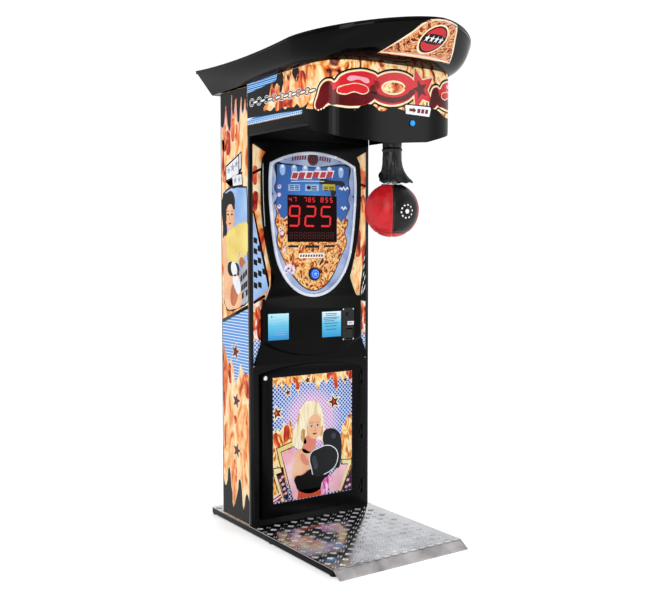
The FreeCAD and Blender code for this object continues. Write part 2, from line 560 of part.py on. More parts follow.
# ---- inside the cabinet ----
def inside():
    z = 345.0
    coin_box = box(90, 290, 350, 520, z, z + 150).cut(box(92, 288, 352, 518, z + 2, z + 151))
    save("cash_box", coin_box)
    save("power_supply", box(-290, -130, 380, 500, z, z + 90))
    save("control_board", box(-312, -310, 330, 520, 560, 760).fuse(
        box(-327, -312, 340, 350, 570, 580)).fuse(box(-327, -312, 500, 510, 740, 750)).fuse(
        box(-310, -302, 380, 440, 620, 680)))
    y = CAB_BACK
    inlet = box(-231.5, -168.5, y - 30, y, 128.5, 171.5).fuse(box(-238, -162, y, y + 3, 122, 178))
    inlet = inlet.cut(box(-226, -198, y - 14, y + 4, 138, 162))
    rocker_well = box(-192, -173, y - 14, y + 4, 136, 164)
    save("power_inlet", inlet.cut(rocker_well).removeSplitter())
    rocker = box(-191.5, -173.5, y - 7, y + 2.5, 137.5, 162.5)
    wedge = side_prism([(y + 3, 136), (y + 3, 150), (y - 0.5, 136)], 400)
    pin = rod(V(-191.9, y - 4, 150), X, 1.5, 18.8)
    save("power_switch", rocker.cut(wedge).fuse(pin).removeSplitter())


# ---- screws ----
def screws():
    heads = []
    spots = [(233, 1730), (233, 1560), (228, 1440), (212, 1325), (177, 1228), (85, 1140)]
    for x, z in spots + [(120, 1789)]:
        for side in (-1, 1):
            heads.append(rod(V(side * (x + 3), SHIELD_FRONT - 11, z), Y, 3.2, 2))
    for x in (COIN_X[0] + 6, COIN_X[1] - 6):
        for z in (COIN_Z[0] + 6, COIN_Z[1] - 6):
            heads.append(rod(V(x, CONSOLE_FRONT - 5.5, z), Y, 4, 2.5))
    save("front_screws", *heads)


os.makedirs("parts", exist_ok=True)
deck()
cabinet()
head()
front_moulding()
display()
push_button("select_button", V(0, SHIELD_FRONT - 4, SELECT_Z), SELECT_R, 8.0, 8.0, 30.0)
push_button("start_button", V(START_X, HEAD_STRAIGHT - HEAD_DEPTH, START_Z), START_HOLE - 2.2, 4.0, 4.0, 14.0)
console_fittings()
door()
arm()
catch()
inside()
screws()
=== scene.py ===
import math

import bpy
from mathutils import Euler, Matrix, Vector, noise


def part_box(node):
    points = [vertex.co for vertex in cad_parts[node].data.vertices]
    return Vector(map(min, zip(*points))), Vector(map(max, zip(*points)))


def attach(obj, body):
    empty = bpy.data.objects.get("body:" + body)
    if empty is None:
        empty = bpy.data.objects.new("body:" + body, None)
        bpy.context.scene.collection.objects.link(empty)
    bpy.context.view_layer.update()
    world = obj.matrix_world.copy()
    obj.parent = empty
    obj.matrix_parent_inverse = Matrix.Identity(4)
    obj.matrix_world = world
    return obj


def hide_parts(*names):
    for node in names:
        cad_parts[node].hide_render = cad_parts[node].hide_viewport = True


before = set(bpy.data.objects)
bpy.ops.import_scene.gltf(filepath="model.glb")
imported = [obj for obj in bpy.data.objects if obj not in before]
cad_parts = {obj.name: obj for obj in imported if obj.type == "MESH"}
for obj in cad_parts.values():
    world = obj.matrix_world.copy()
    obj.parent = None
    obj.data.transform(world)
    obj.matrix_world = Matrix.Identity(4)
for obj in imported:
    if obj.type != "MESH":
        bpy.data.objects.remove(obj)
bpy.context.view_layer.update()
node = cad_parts
scene = bpy.context.scene
bpy.ops.object.select_all(action="DESELECT")

# Base frame, pads and sides of the deck: welded steel box section in satin black powder coat,
# standing on six moulded rubber pads. The coat has a fine orange peel and small dull patches.


def hue(text):
    """A print colour written as red, green and blue in base sixteen."""
    return tuple((int(text[i:i + 2], 16) / 255) ** 2.2 for i in (0, 2, 4)) + (1.0,)


def ramp(tree, source, stops):
    """Colours an output: each stop is a place between 0 and 1 and a print colour."""
    made = tree.nodes.new("ShaderNodeValToRGB")
    for i, (spot, colour) in enumerate(stops):
        stop = made.color_ramp.elements[i] if i < 2 else made.color_ramp.elements.new(spot)
        stop.position = spot
        stop.color = hue(colour)
    tree.links.new(source, made.inputs["Fac"])
    return made.outputs["Color"]


def finish(name, light, dark, rough, grain, bump=0.03, metal=0.0, stretch=(1, 1, 1), shine=0.2, coat=0.0):
    """A worked surface: its tone drifts between two colours, and its gloss and relief follow a grain."""
    made = bpy.data.materials.new(name)
    made.use_nodes = True
    tree = made.node_tree
    shader = tree.nodes["Principled BSDF"]
    place = tree.nodes.new("ShaderNodeTexCoord")
    turn = tree.nodes.new("ShaderNodeMapping")
    turn.inputs["Scale"].default_value = stretch
    tree.links.new(place.outputs["Object"], turn.inputs["Vector"])
    drift = tree.nodes.new("ShaderNodeTexNoise")
    drift.inputs["Scale"].default_value = 9.0
    drift.inputs["Detail"].default_value = 6.0
    tree.links.new(turn.outputs["Vector"], drift.inputs["Vector"])
    tone = ramp(tree, drift.outputs["Fac"], ((0.3, dark), (0.7, light)))
    tree.links.new(tone, shader.inputs["Base Color"])
    fine = tree.nodes.new("ShaderNodeTexNoise")
    fine.inputs["Scale"].default_value = grain
    fine.inputs["Detail"].default_value = 4.0
    tree.links.new(turn.outputs["Vector"], fine.inputs["Vector"])
    gloss = tree.nodes.new("ShaderNodeMapRange")
    gloss.inputs["To Min"].default_value = rough * 0.75
    gloss.inputs["To Max"].default_value = rough * 1.3
    tree.links.new(fine.outputs["Fac"], gloss.inputs["Value"])
    tree.links.new(gloss.outputs["Result"], shader.inputs["Roughness"])
    relief = tree.nodes.new("ShaderNodeBump")
    relief.inputs["Strength"].default_value = bump
    relief.inputs["Distance"].default_value = 0.001
    tree.links.new(fine.outputs["Fac"], relief.inputs["Height"])
    tree.links.new(relief.outputs["Normal"], shader.inputs["Normal"])
    shader.inputs["Metallic"].default_value = metal
    shader.inputs["Specular IOR Level"].default_value = shine
    shader.inputs["Coat Weight"].default_value = coat
    return made


def dress(material, *names):
    for name in names:
        for slot in node[name].material_slots:
            slot.material = material


def only(piece):
    bpy.ops.object.select_all(action="DESELECT")
    piece.select_set(True)
    bpy.context.view_layer.objects.active = piece


def fit(piece, material, body="machine"):
    piece.data.materials.clear()
    piece.data.materials.append(material)
    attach(piece, body)
    return piece


def soften(name, width, material, body="machine", steps=3):
    """The same part with its sharp corners rolled over, as a moulding or pressing has them."""
    piece = bpy.data.objects.new(name + "_soft", node[name].data.copy())
    scene.collection.objects.link(piece)
    only(piece)
    bpy.ops.object.mode_set(mode="EDIT")
    bpy.ops.mesh.select_all(action="SELECT")
    bpy.ops.mesh.remove_doubles(threshold=0.00002)
    bpy.ops.mesh.dissolve_limited(angle_limit=math.radians(1.0))
    bpy.ops.object.mode_set(mode="OBJECT")
    roll = piece.modifiers.new("roll", "BEVEL")
    roll.width = width
    roll.segments = steps
    roll.limit_method = "ANGLE"
    roll.angle_limit = math.radians(35)
    bpy.ops.object.modifier_apply(modifier="roll")
    bpy.ops.object.shade_smooth_by_angle(angle=math.radians(32))
    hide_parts(name)
    return fit(piece, material, body)


powder_coat = finish("black_powder_coat", "121214", "0B0B0C", 0.42, 900, 0.06, shine=0.12)
dress(powder_coat, "head_frame", "hinge_fixed_leaves", "hinge_moving_leaves")
soften("base_frame", 0.002, powder_coat)
dress(finish("moulded_rubber", "151515", "0C0C0C", 0.75, 700, 0.1, shine=0.15), "foot_pads", "arm_buffer")

# Deck: bright rolled aluminium tread plate with pairs of short raised bars that alternate in
# direction, folded down to the floor at the front. It is scuffed along the bars by shoes.
tread_aluminium = finish("bright_tread_plate", "C2C3C7", "A2A3A8", 0.13, 260, 0.05, metal=1.0)
bar_aluminium = finish("polished_tread_bars", "DCDCDF", "A8A9AE", 0.24, 160, 0.6, metal=1.0)
soften("deck_plate", 0.0012, tread_aluminium, steps=2)
deck_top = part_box("deck_plate")[1][2]
deck_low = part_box("deck_plate")[0]
bar_half, bar_wide, bar_high, pitch = 0.0160, 0.0038, 0.0024, 0.047


def repeat_along(piece, step, count):
    only(piece)
    repeat = piece.modifiers.new("repeat", "ARRAY")
    repeat.use_relative_offset = False
    repeat.use_constant_offset = True
    repeat.constant_offset_displace = step
    repeat.count = count
    bpy.ops.object.modifier_apply(modifier="repeat")


def give_wall(piece, thickness):
    """Thickens an open sheet inwards."""
    only(piece)
    wall = piece.modifiers.new("wall", "SOLIDIFY")
    wall.thickness = thickness
    wall.offset = -1
    bpy.ops.object.modifier_apply(modifier="wall")


def tread_bars(name, first, columns, rows, turned):
    """Pairs of raised bars, all turned one way, on every second square of the deck."""
    bars = []
    for shift in (-0.0058, 0.0058):
        bpy.ops.mesh.primitive_circle_add(vertices=10, radius=1.0, fill_type="NGON", location=(0, 0, 0))
        bar = bpy.context.object
        bar.scale = (bar_half, bar_wide, 1)
        bpy.ops.object.transform_apply(scale=True)
        bpy.ops.object.mode_set(mode="EDIT")
        bpy.ops.mesh.select_all(action="SELECT")
        bpy.ops.mesh.extrude_region_move(TRANSFORM_OT_translate={"value": (0, 0, bar_high)})
        bpy.ops.transform.resize(value=(0.8, 0.45, 1))
        bpy.ops.object.mode_set(mode="OBJECT")
        bar.data.transform(Matrix.Translation((0, shift, 0)))
        bars.append(bar)
    only(bars[0])
    bars[1].select_set(True)
    bpy.ops.object.join()
    piece = bpy.context.object
    piece.name = name
    piece.data.transform(Matrix.Rotation(math.radians(turned), 4, "Z"))
    piece.data.transform(Matrix.Translation((first[0], first[1], deck_top - 0.0001)))
    repeat_along(piece, (2 * pitch, 0, 0), columns)
    repeat_along(piece, (0, pitch, 0), rows)
    if turned > 0:
        for vertex in piece.data.vertices:
            if round((vertex.co.y - first[1]) / pitch) % 2:
                vertex.co.x += pitch
    else:
        for vertex in piece.data.vertices:
            if not round((vertex.co.y - first[1]) / pitch) % 2:
                vertex.co.x += pitch
    return fit(piece, bar_aluminium)


ramp_top, ramp_foot = deck_low[1] + 0.052, deck_low[1]
bpy.ops.mesh.primitive_cylinder_add(vertices=6, radius=0.012, depth=0.004, location=(0, 0, 0))
knuckle = bpy.context.object
knuckle.name = "ramp_knuckles"
knuckle.scale = (1.7, 0.75, 1)
bpy.ops.object.transform_apply(scale=True)
knuckle.data.transform(Matrix.Translation((deck_low[0] + 0.03, ramp_top - 0.001, deck_top + 0.0006)))
repeat_along(knuckle, (0.0492, 0, 0), 14)
soft = knuckle.modifiers.new("soft", "BEVEL")
soft.width = 0.0018
soft.segments = 2
bpy.ops.object.modifier_apply(modifier="soft")
fit(knuckle, bar_aluminium)
worn_nose = finish("speckled_worn_nose", "CFCBCB", "8C8889", 0.45, 900, 0.6, metal=0.6)
bpy.ops.mesh.primitive_grid_add(x_subdivisions=60, y_subdivisions=6, size=1)
nose_skin = bpy.context.object
nose_skin.name = "ramp_worn_skin"
for vertex in nose_skin.data.vertices:
    t = vertex.co.y + 0.5
    dent = 0.0012 * math.sin(vertex.co.x * 88) * math.sin(math.pi * t)
    vertex.co = Vector((vertex.co.x * 0.698, ramp_foot + (ramp_top - ramp_foot) * t,
        0.0006 + (deck_top - 0.0002) * t + dent + 0.0008))
give_wall(nose_skin, 0.0006)
bpy.ops.object.shade_smooth()
fit(nose_skin, worn_nose)
for name, start, rows in (("front", deck_low[1] + 0.075, 14), ("back", 0.585, 2)):
    tread_bars("tread_bars_a_" + name, (deck_low[0] + 0.02, start), 7, rows, 45)
    tread_bars("tread_bars_b_" + name, (deck_low[0] + 0.02, start), 7, rows, -45)

# Corner posts and the plain boards: black anodised profiles at the two front corners, black
# laminate on plywood for the back, top, shelf and the inside of the door.
post_black = finish("black_anodised_profile", "131317", "0C0C10", 0.28, 500, 0.03, shine=0.18)
for name in ("corner_post_left", "corner_post_right"):
    soften(name, 0.003, post_black)
dress(finish("black_laminate", "0F0F10", "0A0A0B", 0.5, 800, 0.05, shine=0.1), "rear_panel", "cabinet_top",
    "cash_shelf", "door_board")
dress(finish("grey_edge_band", "4A3F49", "2C262C", 0.45, 300, 0.04, stretch=(1, 1, 0.1)),
    "rear_edge_strips")

# Side panels: flame laminate printed on plywood. The print runs from a black top with licking
# flames, past an inked comic panel, to a blue sky, stars and a black foot with rising licks.


def fire(name, stops, scale, stretch=(1, 1, 0.4), rough=0.22, twist=1.6):
    """Printed fire: a warped pattern of tongues coloured from hot to dark."""
    made = finish(name, "FFFFFF", "F0F0F0", rough, 600, 0.02, shine=0.15)
    tree = made.node_tree
    place = tree.nodes.new("ShaderNodeTexCoord")
    turn = tree.nodes.new("ShaderNodeMapping")
    turn.inputs["Scale"].default_value = stretch
    tree.links.new(place.outputs["Object"], turn.inputs["Vector"])
    tongue = tree.nodes.new("ShaderNodeTexNoise")
    tongue.inputs["Scale"].default_value = scale
    tongue.inputs["Detail"].default_value = 3.0
    tongue.inputs["Distortion"].default_value = twist
    tree.links.new(turn.outputs["Vector"], tongue.inputs["Vector"])
    flame = ramp(tree, tongue.outputs["Fac"], stops)
    tree.links.new(flame, tree.nodes["Principled BSDF"].inputs["Base Color"])
    return made


def mesh_print(name, line, ground, pitch_mm, rough=0.25, angles=(45, -45), glow=None):
    """A print of crossing fine lines on a ground that may pale towards one spot."""
    made = finish(name, ground, ground, rough, 600, 0.02, shine=0.15)
    tree = made.node_tree
    place = tree.nodes.new("ShaderNodeTexCoord")
    low = None
    for angle in angles:
        turn = tree.nodes.new("ShaderNodeMapping")
        turn.inputs["Rotation"].default_value = (0, math.radians(angle), 0)
        tree.links.new(place.outputs["Object"], turn.inputs["Vector"])
        wave = tree.nodes.new("ShaderNodeTexWave")
        wave.inputs["Scale"].default_value = 1000 / pitch_mm * 0.314
        tree.links.new(turn.outputs["Vector"], wave.inputs["Vector"])
        if low is None:
            low = wave.outputs["Fac"]
        else:
            pick = tree.nodes.new("ShaderNodeMath")
            pick.operation = "MAXIMUM"
            tree.links.new(low, pick.inputs[0])
            tree.links.new(wave.outputs["Fac"], pick.inputs[1])
            low = pick.outputs["Value"]
    edge = ramp(tree, low, ((0.80, "000000"), (0.97, "FFFFFF")))
    mix = tree.nodes.new("ShaderNodeMix")
    mix.data_type = "RGBA"
    mix.inputs["A"].default_value = hue(ground)
    mix.inputs["B"].default_value = hue(line)
    tree.links.new(edge, mix.inputs["Factor"])
    if glow:
        spot, reach, ends = glow
        gap = tree.nodes.new("ShaderNodeVectorMath")
        gap.operation = "DISTANCE"
        gap.inputs[1].default_value = spot
        tree.links.new(place.outputs["Object"], gap.inputs[0])
        span = tree.nodes.new("ShaderNodeMapRange")
        span.inputs["From Max"].default_value = reach
        tree.links.new(gap.outputs["Value"], span.inputs["Value"])
        tree.links.new(ramp(tree, span.outputs["Result"], ends), mix.inputs["A"])
    tree.links.new(mix.outputs["Result"], tree.nodes["Principled BSDF"].inputs["Base Color"])
    return made


def drawn(curve, lines, smooth, closed):
    """A flat mesh drawn from rows of points in millimetres, with the curve's own width and depth."""
    for points in lines:
        spline = curve.splines.new("BEZIER" if smooth else "POLY")
        row = spline.bezier_points if smooth else spline.points
        row.add(len(points) - 1)
        for spot, (u, v) in zip(row, points):
            spot.co = (u / 1000, v / 1000, 0) if smooth else (u / 1000, v / 1000, 0, 1)
            if smooth:
                spot.handle_left_type = spot.handle_right_type = "AUTO"
        spline.use_cyclic_u = closed
    piece = bpy.data.objects.new(curve.name, curve)
    scene.collection.objects.link(piece)
    only(piece)
    bpy.ops.object.convert(target="MESH")
    return bpy.context.object


def film(name, shapes, place, material, slot, body="machine", smooth=True, thick=0.3, lift=0.0, bands=None):
    """Printed film cut to one or more outlines in millimetres and laid on a surface."""
    curve = bpy.data.curves.new(name, "CURVE")
    curve.dimensions = "2D"
    curve.fill_mode = "BOTH"
    curve.extrude = thick / 2000
    curve.resolution_u = 6
    piece = drawn(curve, shapes, smooth, True)
    return lay(piece, place, material, body, thick, lift, bands)


def stroke(name, lines, width, place, material, body="machine", smooth=True, closed=False, lift=0.0,
        bands=None):
    """Printed lines of an even width, laid on a surface."""
    curve = bpy.data.curves.new(name, "CURVE")
    curve.dimensions = "3D"
    curve.bevel_depth = width / 2000
    curve.bevel_resolution = 1
    curve.resolution_u = 6
    curve.use_fill_caps = True
    piece = drawn(curve, lines, smooth, closed)
    for vertex in piece.data.vertices:
        vertex.co.z *= 0.36 / width
    return lay(piece, place, material, body, 0.36, lift, bands)


def lay(piece, place, material, body, thick, lift, bands):
    """Bends a flat print onto the surface that place describes, cut into bands where it curves."""
    bpy.ops.object.mode_set(mode="EDIT")
    bpy.ops.mesh.select_all(action="SELECT")
    bpy.ops.mesh.remove_doubles(threshold=0.00001)
    if bands:
        for at in range(*bands[:3]):
            bpy.ops.mesh.select_all(action="SELECT")
            bpy.ops.mesh.bisect(plane_co=(at / 1000, 0, 0), plane_no=(1, 0, 0))
        for at in range(*bands[3:] or (0,)):
            bpy.ops.mesh.select_all(action="SELECT")
            bpy.ops.mesh.bisect(plane_co=(0, at / 1000, 0), plane_no=(0, 1, 0))
    bpy.ops.object.mode_set(mode="OBJECT")
    for vertex in piece.data.vertices:
        u, v, w = vertex.co
        vertex.co = place(u * 1000, v * 1000, w * 1000 + thick / 2 + lift) / 1000
    bpy.ops.object.mode_set(mode="EDIT")
    bpy.ops.mesh.select_all(action="SELECT")
    bpy.ops.mesh.normals_make_consistent(inside=False)
    bpy.ops.object.mode_set(mode="OBJECT")
    return fit(piece, material, body)


def strip(left, top, wide, high):
    return [(left, top), (left + wide, top), (left + wide, top - high), (left, top - high)]


def star(at, size, lean=0.0, waist=0.42):
    spots = []
    for i in range(10):
        reach = size if i % 2 == 0 else size * waist
        angle = math.radians(90 + 36 * i + lean)
        spots.append((at[0] + reach * math.cos(angle), at[1] + reach * math.sin(angle)))
    return spots


def disc(at, wide, high=None, lean=0.0, count=12):
    high = high or wide
    spots = []
    for i in range(count):
        a = 2 * math.pi * i / count
        u, v = wide * math.cos(a), high * math.sin(a)
        c, s = math.cos(math.radians(lean)), math.sin(math.radians(lean))
        spots.append((at[0] + u * c - v * s, at[1] + u * s + v * c))
    return spots


flame_peach = fire("flame_peach", [(0.30, "A83A1C"), (0.37, "D8682E"), (0.44, "EFA05C"), (0.53, "F7CF98"),
    (0.63, "FBE6BE"), (0.71, "F0A868"), (0.80, "C85428")], 12, stretch=(1, 1, 0.36), twist=2.2)
flame_red = fire("flame_red", [(0.34, "6A120E"), (0.45, "C23420"), (0.56, "E8743C"), (0.68, "F4B070")], 20)
ink_black = finish("printed_black", "0C0C0F", "060608", 0.25, 700, 0.02, shine=0.12)
ink_cream = finish("printed_cream", "FFF0CC", "F6DDAE", 0.25, 700, 0.02)
ink_white = finish("printed_white", "F6F7FA", "DDE0E8", 0.25, 700, 0.02)
ink_red = finish("printed_red", "C8252C", "A01620", 0.25, 700, 0.02)
ink_maroon = finish("printed_maroon", "6E1410", "4A0A0A", 0.25, 700, 0.02)
ink_pink = finish("printed_pink", "F3B7C2", "E08AA0", 0.25, 700, 0.02)
ink_sky = finish("printed_sky", "A9C6EE", "7FA6DC", 0.25, 700, 0.02)
ink_skin = finish("printed_skin", "F4C49C", "E2A074", 0.25, 700, 0.02)
ink_shade = finish("printed_shade", "C9764E", "A85A3A", 0.25, 700, 0.02)
ink_yellow = finish("printed_yellow", "F3DF86", "DDBE5A", 0.25, 700, 0.02)
ink_grey = finish("printed_grey", "B9BDC6", "8E929E", 0.25, 700, 0.02)
sky_lines = mesh_print("sky_lines", "EDF4FF", "5E93D6", 14, angles=(78,))
dress(flame_peach, "side_panel_left", "side_panel_right")
dress(ink_black, "front_board")
side_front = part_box("side_panel_right")[0][1] * 1000
side_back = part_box("side_panel_right")[1][1] * 1000
side_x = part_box("side_panel_right")[1][0] * 1000
side_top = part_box("side_panel_right")[1][2] * 1000

for side, word in ((-1, "left"), (1, "right")):
    def on_side(u, v, w, side=side):
        return Vector((side * (side_x + w), min(max(u, side_front + 0.3), side_back - 0.3), v))

    def print_on_side(name, shapes, material, **cut):
        return film(name, shapes, on_side, material, "side_print", **cut)

    fore, rear, crown = side_front + 0.5, side_back - 0.5, side_top - 1
    top_edge = [(rear, 1935), (534, 1926), (520, 1950), (509, 2020), (500, 2030), (496, 1990), (486, 1935),
        (470, 1902), (457, 1925), (452, 1990), (448, 2072), (441, 2066), (442, 2000), (433, 1968),
        (422, 1985), (412, 2040), (398, 2052), (396, 2000), (390, 1945), (380, 1931), (370, 1945),
        (364, 2000), (352, 2056), (346, 2040), (348, 1995), (338, 1976), (328, 1990), (318, 2040),
        (310, 2030), (306, 1990), (fore, 1975)]
    stroke("side_rim_top_" + word, [top_edge], 9, on_side, ink_pink)
    print_on_side("side_black_top_" + word, [[(rear, crown)] + top_edge + [(fore, crown)]], ink_black,
        smooth=False, lift=0.25)
    for i, (at, wide, high) in enumerate((((528, 1880), 24, 70), ((490, 1850), 30, 60),
            ((440, 1905), 22, 55), ((540, 1780), 12, 90), ((402, 1890), 14, 40), ((520, 1690), 30, 30))):
        print_on_side("side_glow_%d_%s" % (i, word), [[(at[0] - wide, at[1]), (at[0] - wide * 0.3,
            at[1] - high), (at[0] + wide * 0.8, at[1] - high * 0.4), (at[0] + wide * 0.4,
            at[1] + high * 0.2), (at[0], at[1] + high)]], flame_red, thick=0.12)
    comic = [(538, 1608), (500, 1626), (444, 1640), (fore + 8, 1630), (fore + 1, 1560), (fore + 1, 1100),
        (330, 1082), (451, 1048), (505, 1046), (536, 1086)]
    stroke("side_frame_" + word, [comic], 10, on_side, ink_black, closed=True, smooth=False)
    print_on_side("side_panel_sky_" + word, [comic], ink_sky, smooth=False, thick=0.2)
    print_on_side("side_caption_back_" + word, [[(511, 1741), (353, 1800), (352, 1712), (388, 1683),
        (511, 1664)], [(450, 1702), (347, 1704), (340, 1634), (443, 1630)]], ink_black, smooth=False,
        thick=0.2)
    print_on_side("side_caption_" + word, [[(504, 1735), (383, 1780), (383, 1698), (504, 1673)],
        [(374, 1786), (360, 1790), (360, 1722), (374, 1716)], [(443, 1690), (354, 1693), (348, 1645),
        (437, 1642)]], ink_white, smooth=False, lift=0.2)
    print_on_side("side_caption_ink_" + word, [star((480, 1718), 20), star((440, 1730), 24),
        star((402, 1744), 20), star((415, 1668), 19), star((375, 1669), 17)], ink_grey, smooth=False,
        lift=0.5)
    print_on_side("side_hair_" + word, [[(541, 1600), (500, 1612), (455, 1618), (424, 1588), (426, 1540),
        (450, 1520), (500, 1470), (505, 1400), (530, 1380), (543, 1450)]], ink_black, lift=0.25)
    print_on_side("side_face_" + word, [disc((470, 1500), 46, 66, -8)], ink_skin, lift=0.5)
    print_on_side("side_fringe_" + word, [[(520, 1560), (470, 1580), (428, 1556), (426, 1530), (455, 1556),
        (495, 1545), (520, 1470), (528, 1500)]], ink_black, lift=0.8)
    print_on_side("side_eyes_" + word, [disc((488, 1508), 9, 4.5), disc((450, 1508), 9, 4.5)], ink_black,
        lift=0.8)
    stroke("side_brows_" + word, [[(500, 1521), (489, 1525), (478, 1522)], [(461, 1522), (450, 1525),
        (439, 1521)]], 3, on_side, ink_black, lift=0.8)
    stroke("side_nose_" + word, [[(472, 1503), (475, 1487), (468, 1483)]], 2.4, on_side, ink_shade,
        lift=0.8)
    print_on_side("side_mouth_" + word, [disc((470, 1464), 13, 4)], ink_red, lift=0.8)
    print_on_side("side_shirt_" + word, [[(505, 1412), (462, 1440), (420, 1450), (355, 1466),
        (fore + 1, 1462), (fore + 1, 1334), (345, 1300), (378, 1290), (372, 1330), (395, 1268), (480, 1270),
        (508, 1350)]], ink_yellow, lift=0.4)
    print_on_side("side_arm_" + word, [[(536, 1400), (505, 1400), (500, 1300), (480, 1262), (395, 1262),
        (360, 1160), (359, 1085), (451, 1053), (500, 1052), (534, 1090), (538, 1240)]], ink_skin, lift=0.32)
    print_on_side("side_arm_shade_" + word, [[(430, 1180), (400, 1160), (410, 1090), (450, 1070),
        (470, 1120)], [(372, 1300), (330, 1290), (fore + 3, 1230), (350, 1240)]], ink_shade, lift=0.62)
    print_on_side("side_cuff_" + word, [[(492, 1268), (464, 1282), (430, 1276), (395, 1272), (380, 1225),
        (434, 1214), (485, 1222)]], ink_black, lift=0.65)
    print_on_side("side_cuff_trim_" + word, [[(455, 1276), (420, 1274), (405, 1220), (440, 1216)],
        [(440, 1212), (395, 1215), (380, 1130), (420, 1150)]], ink_white, lift=0.95)
    grid = [(384, 1236), (fore + 1, 1292), (fore + 1, 1100), (340, 1080), (352, 1110)]
    print_on_side("side_reel_" + word, [grid], ink_grey, smooth=False, lift=0.66)
    print_on_side("side_reel_windows_" + word, [[(u, v), (u - 18, v + 12), (u - 18, v - 16), (u, v - 28)]
        for u, v in ((368, 1212), (344, 1226), (322, 1240), (362, 1168), (340, 1178), (320, 1188),
        (356, 1132), (335, 1140), (318, 1146))], ink_black, smooth=False, lift=1.0)
    print_on_side("side_sky_" + word, [[(rear, 1000), (fore, 1072), (fore, 760), (330, 742), (318, 700),
        (345, 760), (378, 800), (405, 720), (432, 700), (445, 770), (470, 820), (490, 780), (500, 800),
        (535, 850), (rear, 868)]], sky_lines, smooth=False, thick=0.2)
    print_on_side("side_sky_flames_" + word, [[(rear, 838), (548, 870), (538, 800), (520, 770),
        (rear, 720)], [(486, 790), (498, 770), (494, 720), (478, 690), (470, 740)],
        [(326, 760), (340, 728), (334, 660), (fore + 2, 640), (fore + 2, 700)]], flame_red, thick=0.16,
        lift=0.2)
    stroke("side_band_" + word, [[(rear - 2, 990), (fore + 2, 1074)]], 17, on_side, ink_black,
        smooth=False, lift=0.3)
    stars = ((422, 851), (417, 614), (415, 372))
    print_on_side("side_star_edge_" + word, [star(at, 50, 12) for at in stars], ink_cream, smooth=False,
        lift=0.4)
    print_on_side("side_stars_" + word, [star(at, 40, 12) for at in stars], ink_maroon, smooth=False,
        lift=0.7)
    print_on_side("side_embers_" + word, [disc((430, 520), 16, 22), disc((540, 600), 10, 80),
        disc((536, 420), 10, 60), disc((540, 700), 14, 60), disc((320, 560), 8, 50),
        disc((425, 250), 8, 40), disc((440, 300), 7, 26)], flame_red, thick=0.12)
    foot = [(fore, 150), (306, 172), (322, 182), (334, 160), (342, 120), (352, 96), (362, 118), (366, 170),
        (372, 215), (386, 240), (400, 228), (404, 190), (420, 150), (440, 104), (456, 84), (464, 108),
        (462, 150), (476, 190), (482, 240), (494, 278), (508, 262), (512, 210), (526, 180), (540, 176),
        (550, 200), (rear, 220)]
    stroke("side_rim_foot_" + word, [foot], 8, on_side, ink_cream)
    print_on_side("side_black_foot_" + word, [foot + [(rear, 38), (fore, 38)]], ink_black, smooth=False,
        lift=0.25)

# Front board: black laminate on plywood, with a strip of fire printed down each side of the moulded
# front. Each strip carries black bars, the foot of the comic panel and a blue mesh at the bottom.
board_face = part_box("front_board")[0][1] * 1000
strip_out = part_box("corner_post_right")[0][0] * 1000 - 0.5
blue_mesh = mesh_print("blue_mesh", "F4F8FF", "3F7CC4", 14)


def on_board(u, v, w):
    return Vector((min(max(u, -strip_out), strip_out), board_face - w, v))


def print_on_board(name, shapes, material, **cut):
    return film(name, shapes, on_board, material, "front_print", **cut)


for side, word in ((-1, "left"), (1, "right")):
    outer = side * strip_out
    print_on_board("strip_fire_" + word, [[(side * 230, 1850), (outer, 1850), (outer, 905),
        (side * 230, 905)]], flame_peach, smooth=False, thick=0.08)
    print_on_board("strip_hot_" + word, [[(outer, 1700), (outer - side * 14, 1730),
        (outer - side * 22, 1680), (outer - side * 12, 1640), (outer, 1660)], [(outer, 1600),
        (outer - side * 18, 1612), (outer - side * 26, 1560), (outer - side * 10, 1520), (outer, 1540)],
        [(side * 262, 1420), (side * 280, 1440), (side * 292, 1380), (side * 276, 1300),
        (side * 262, 1340)], [(outer, 1330), (outer - side * 12, 1360), (outer - side * 20, 1290),
        (outer - side * 6, 1240), (outer, 1260)]], flame_red, thick=0.15)
    print_on_board("strip_low_red_" + word, [[(side * 288, 1058), (side * 300, 1075), (side * 306, 1000),
        (side * 300, 925), (side * 290, 915)], [(outer, 1050), (outer - side * 9, 1000), (outer, 960)]],
        flame_red, thick=0.15, lift=0.2)
    print_on_board("strip_pale_" + word, [[(side * 284, 1100), (outer, 1100), (outer, 905),
        (side * 284, 915)]], fire("pale_scratches_" + word, [(0.34, "D8503C"), (0.44, "F3C9B0"),
        (0.56, "F4F2EC"), (0.7, "CFE0EE")], 26, twist=2.4), smooth=False, thick=0.12)
    print_on_board("strip_mesh_" + word, [[(outer, 912), (side * 304, 918), (side * 272, 905),
        (side * 272, 826), (outer, 786)]], blue_mesh, smooth=False, thick=0.14, lift=0.1)
    print_on_board("strip_black_low_" + word, [[(outer, 788), (side * 272, 828), (side * 292, 760),
        (side * 292, 36), (outer, 36)]], ink_black, smooth=False, thick=0.3)
    print_on_board("strip_black_top_" + word, [[(0, 1984), (outer, 1984), (outer, 1838), (side * 254, 1794),
        (0, 1794)]], ink_black, smooth=False, thick=0.3)
    stroke("strip_bar_" + word, [[(outer, 1694 if side < 0 else 1655), (side * 280,
        1715 if side < 0 else 1668)]], 12, on_board, ink_black, smooth=False, lift=0.2)
    stroke("strip_bar_low_" + word, [[(outer, 1082 if side > 0 else 1092), (side * 262,
        1098 if side > 0 else 1124)]], 13, on_board, ink_black, smooth=False, lift=0.3)

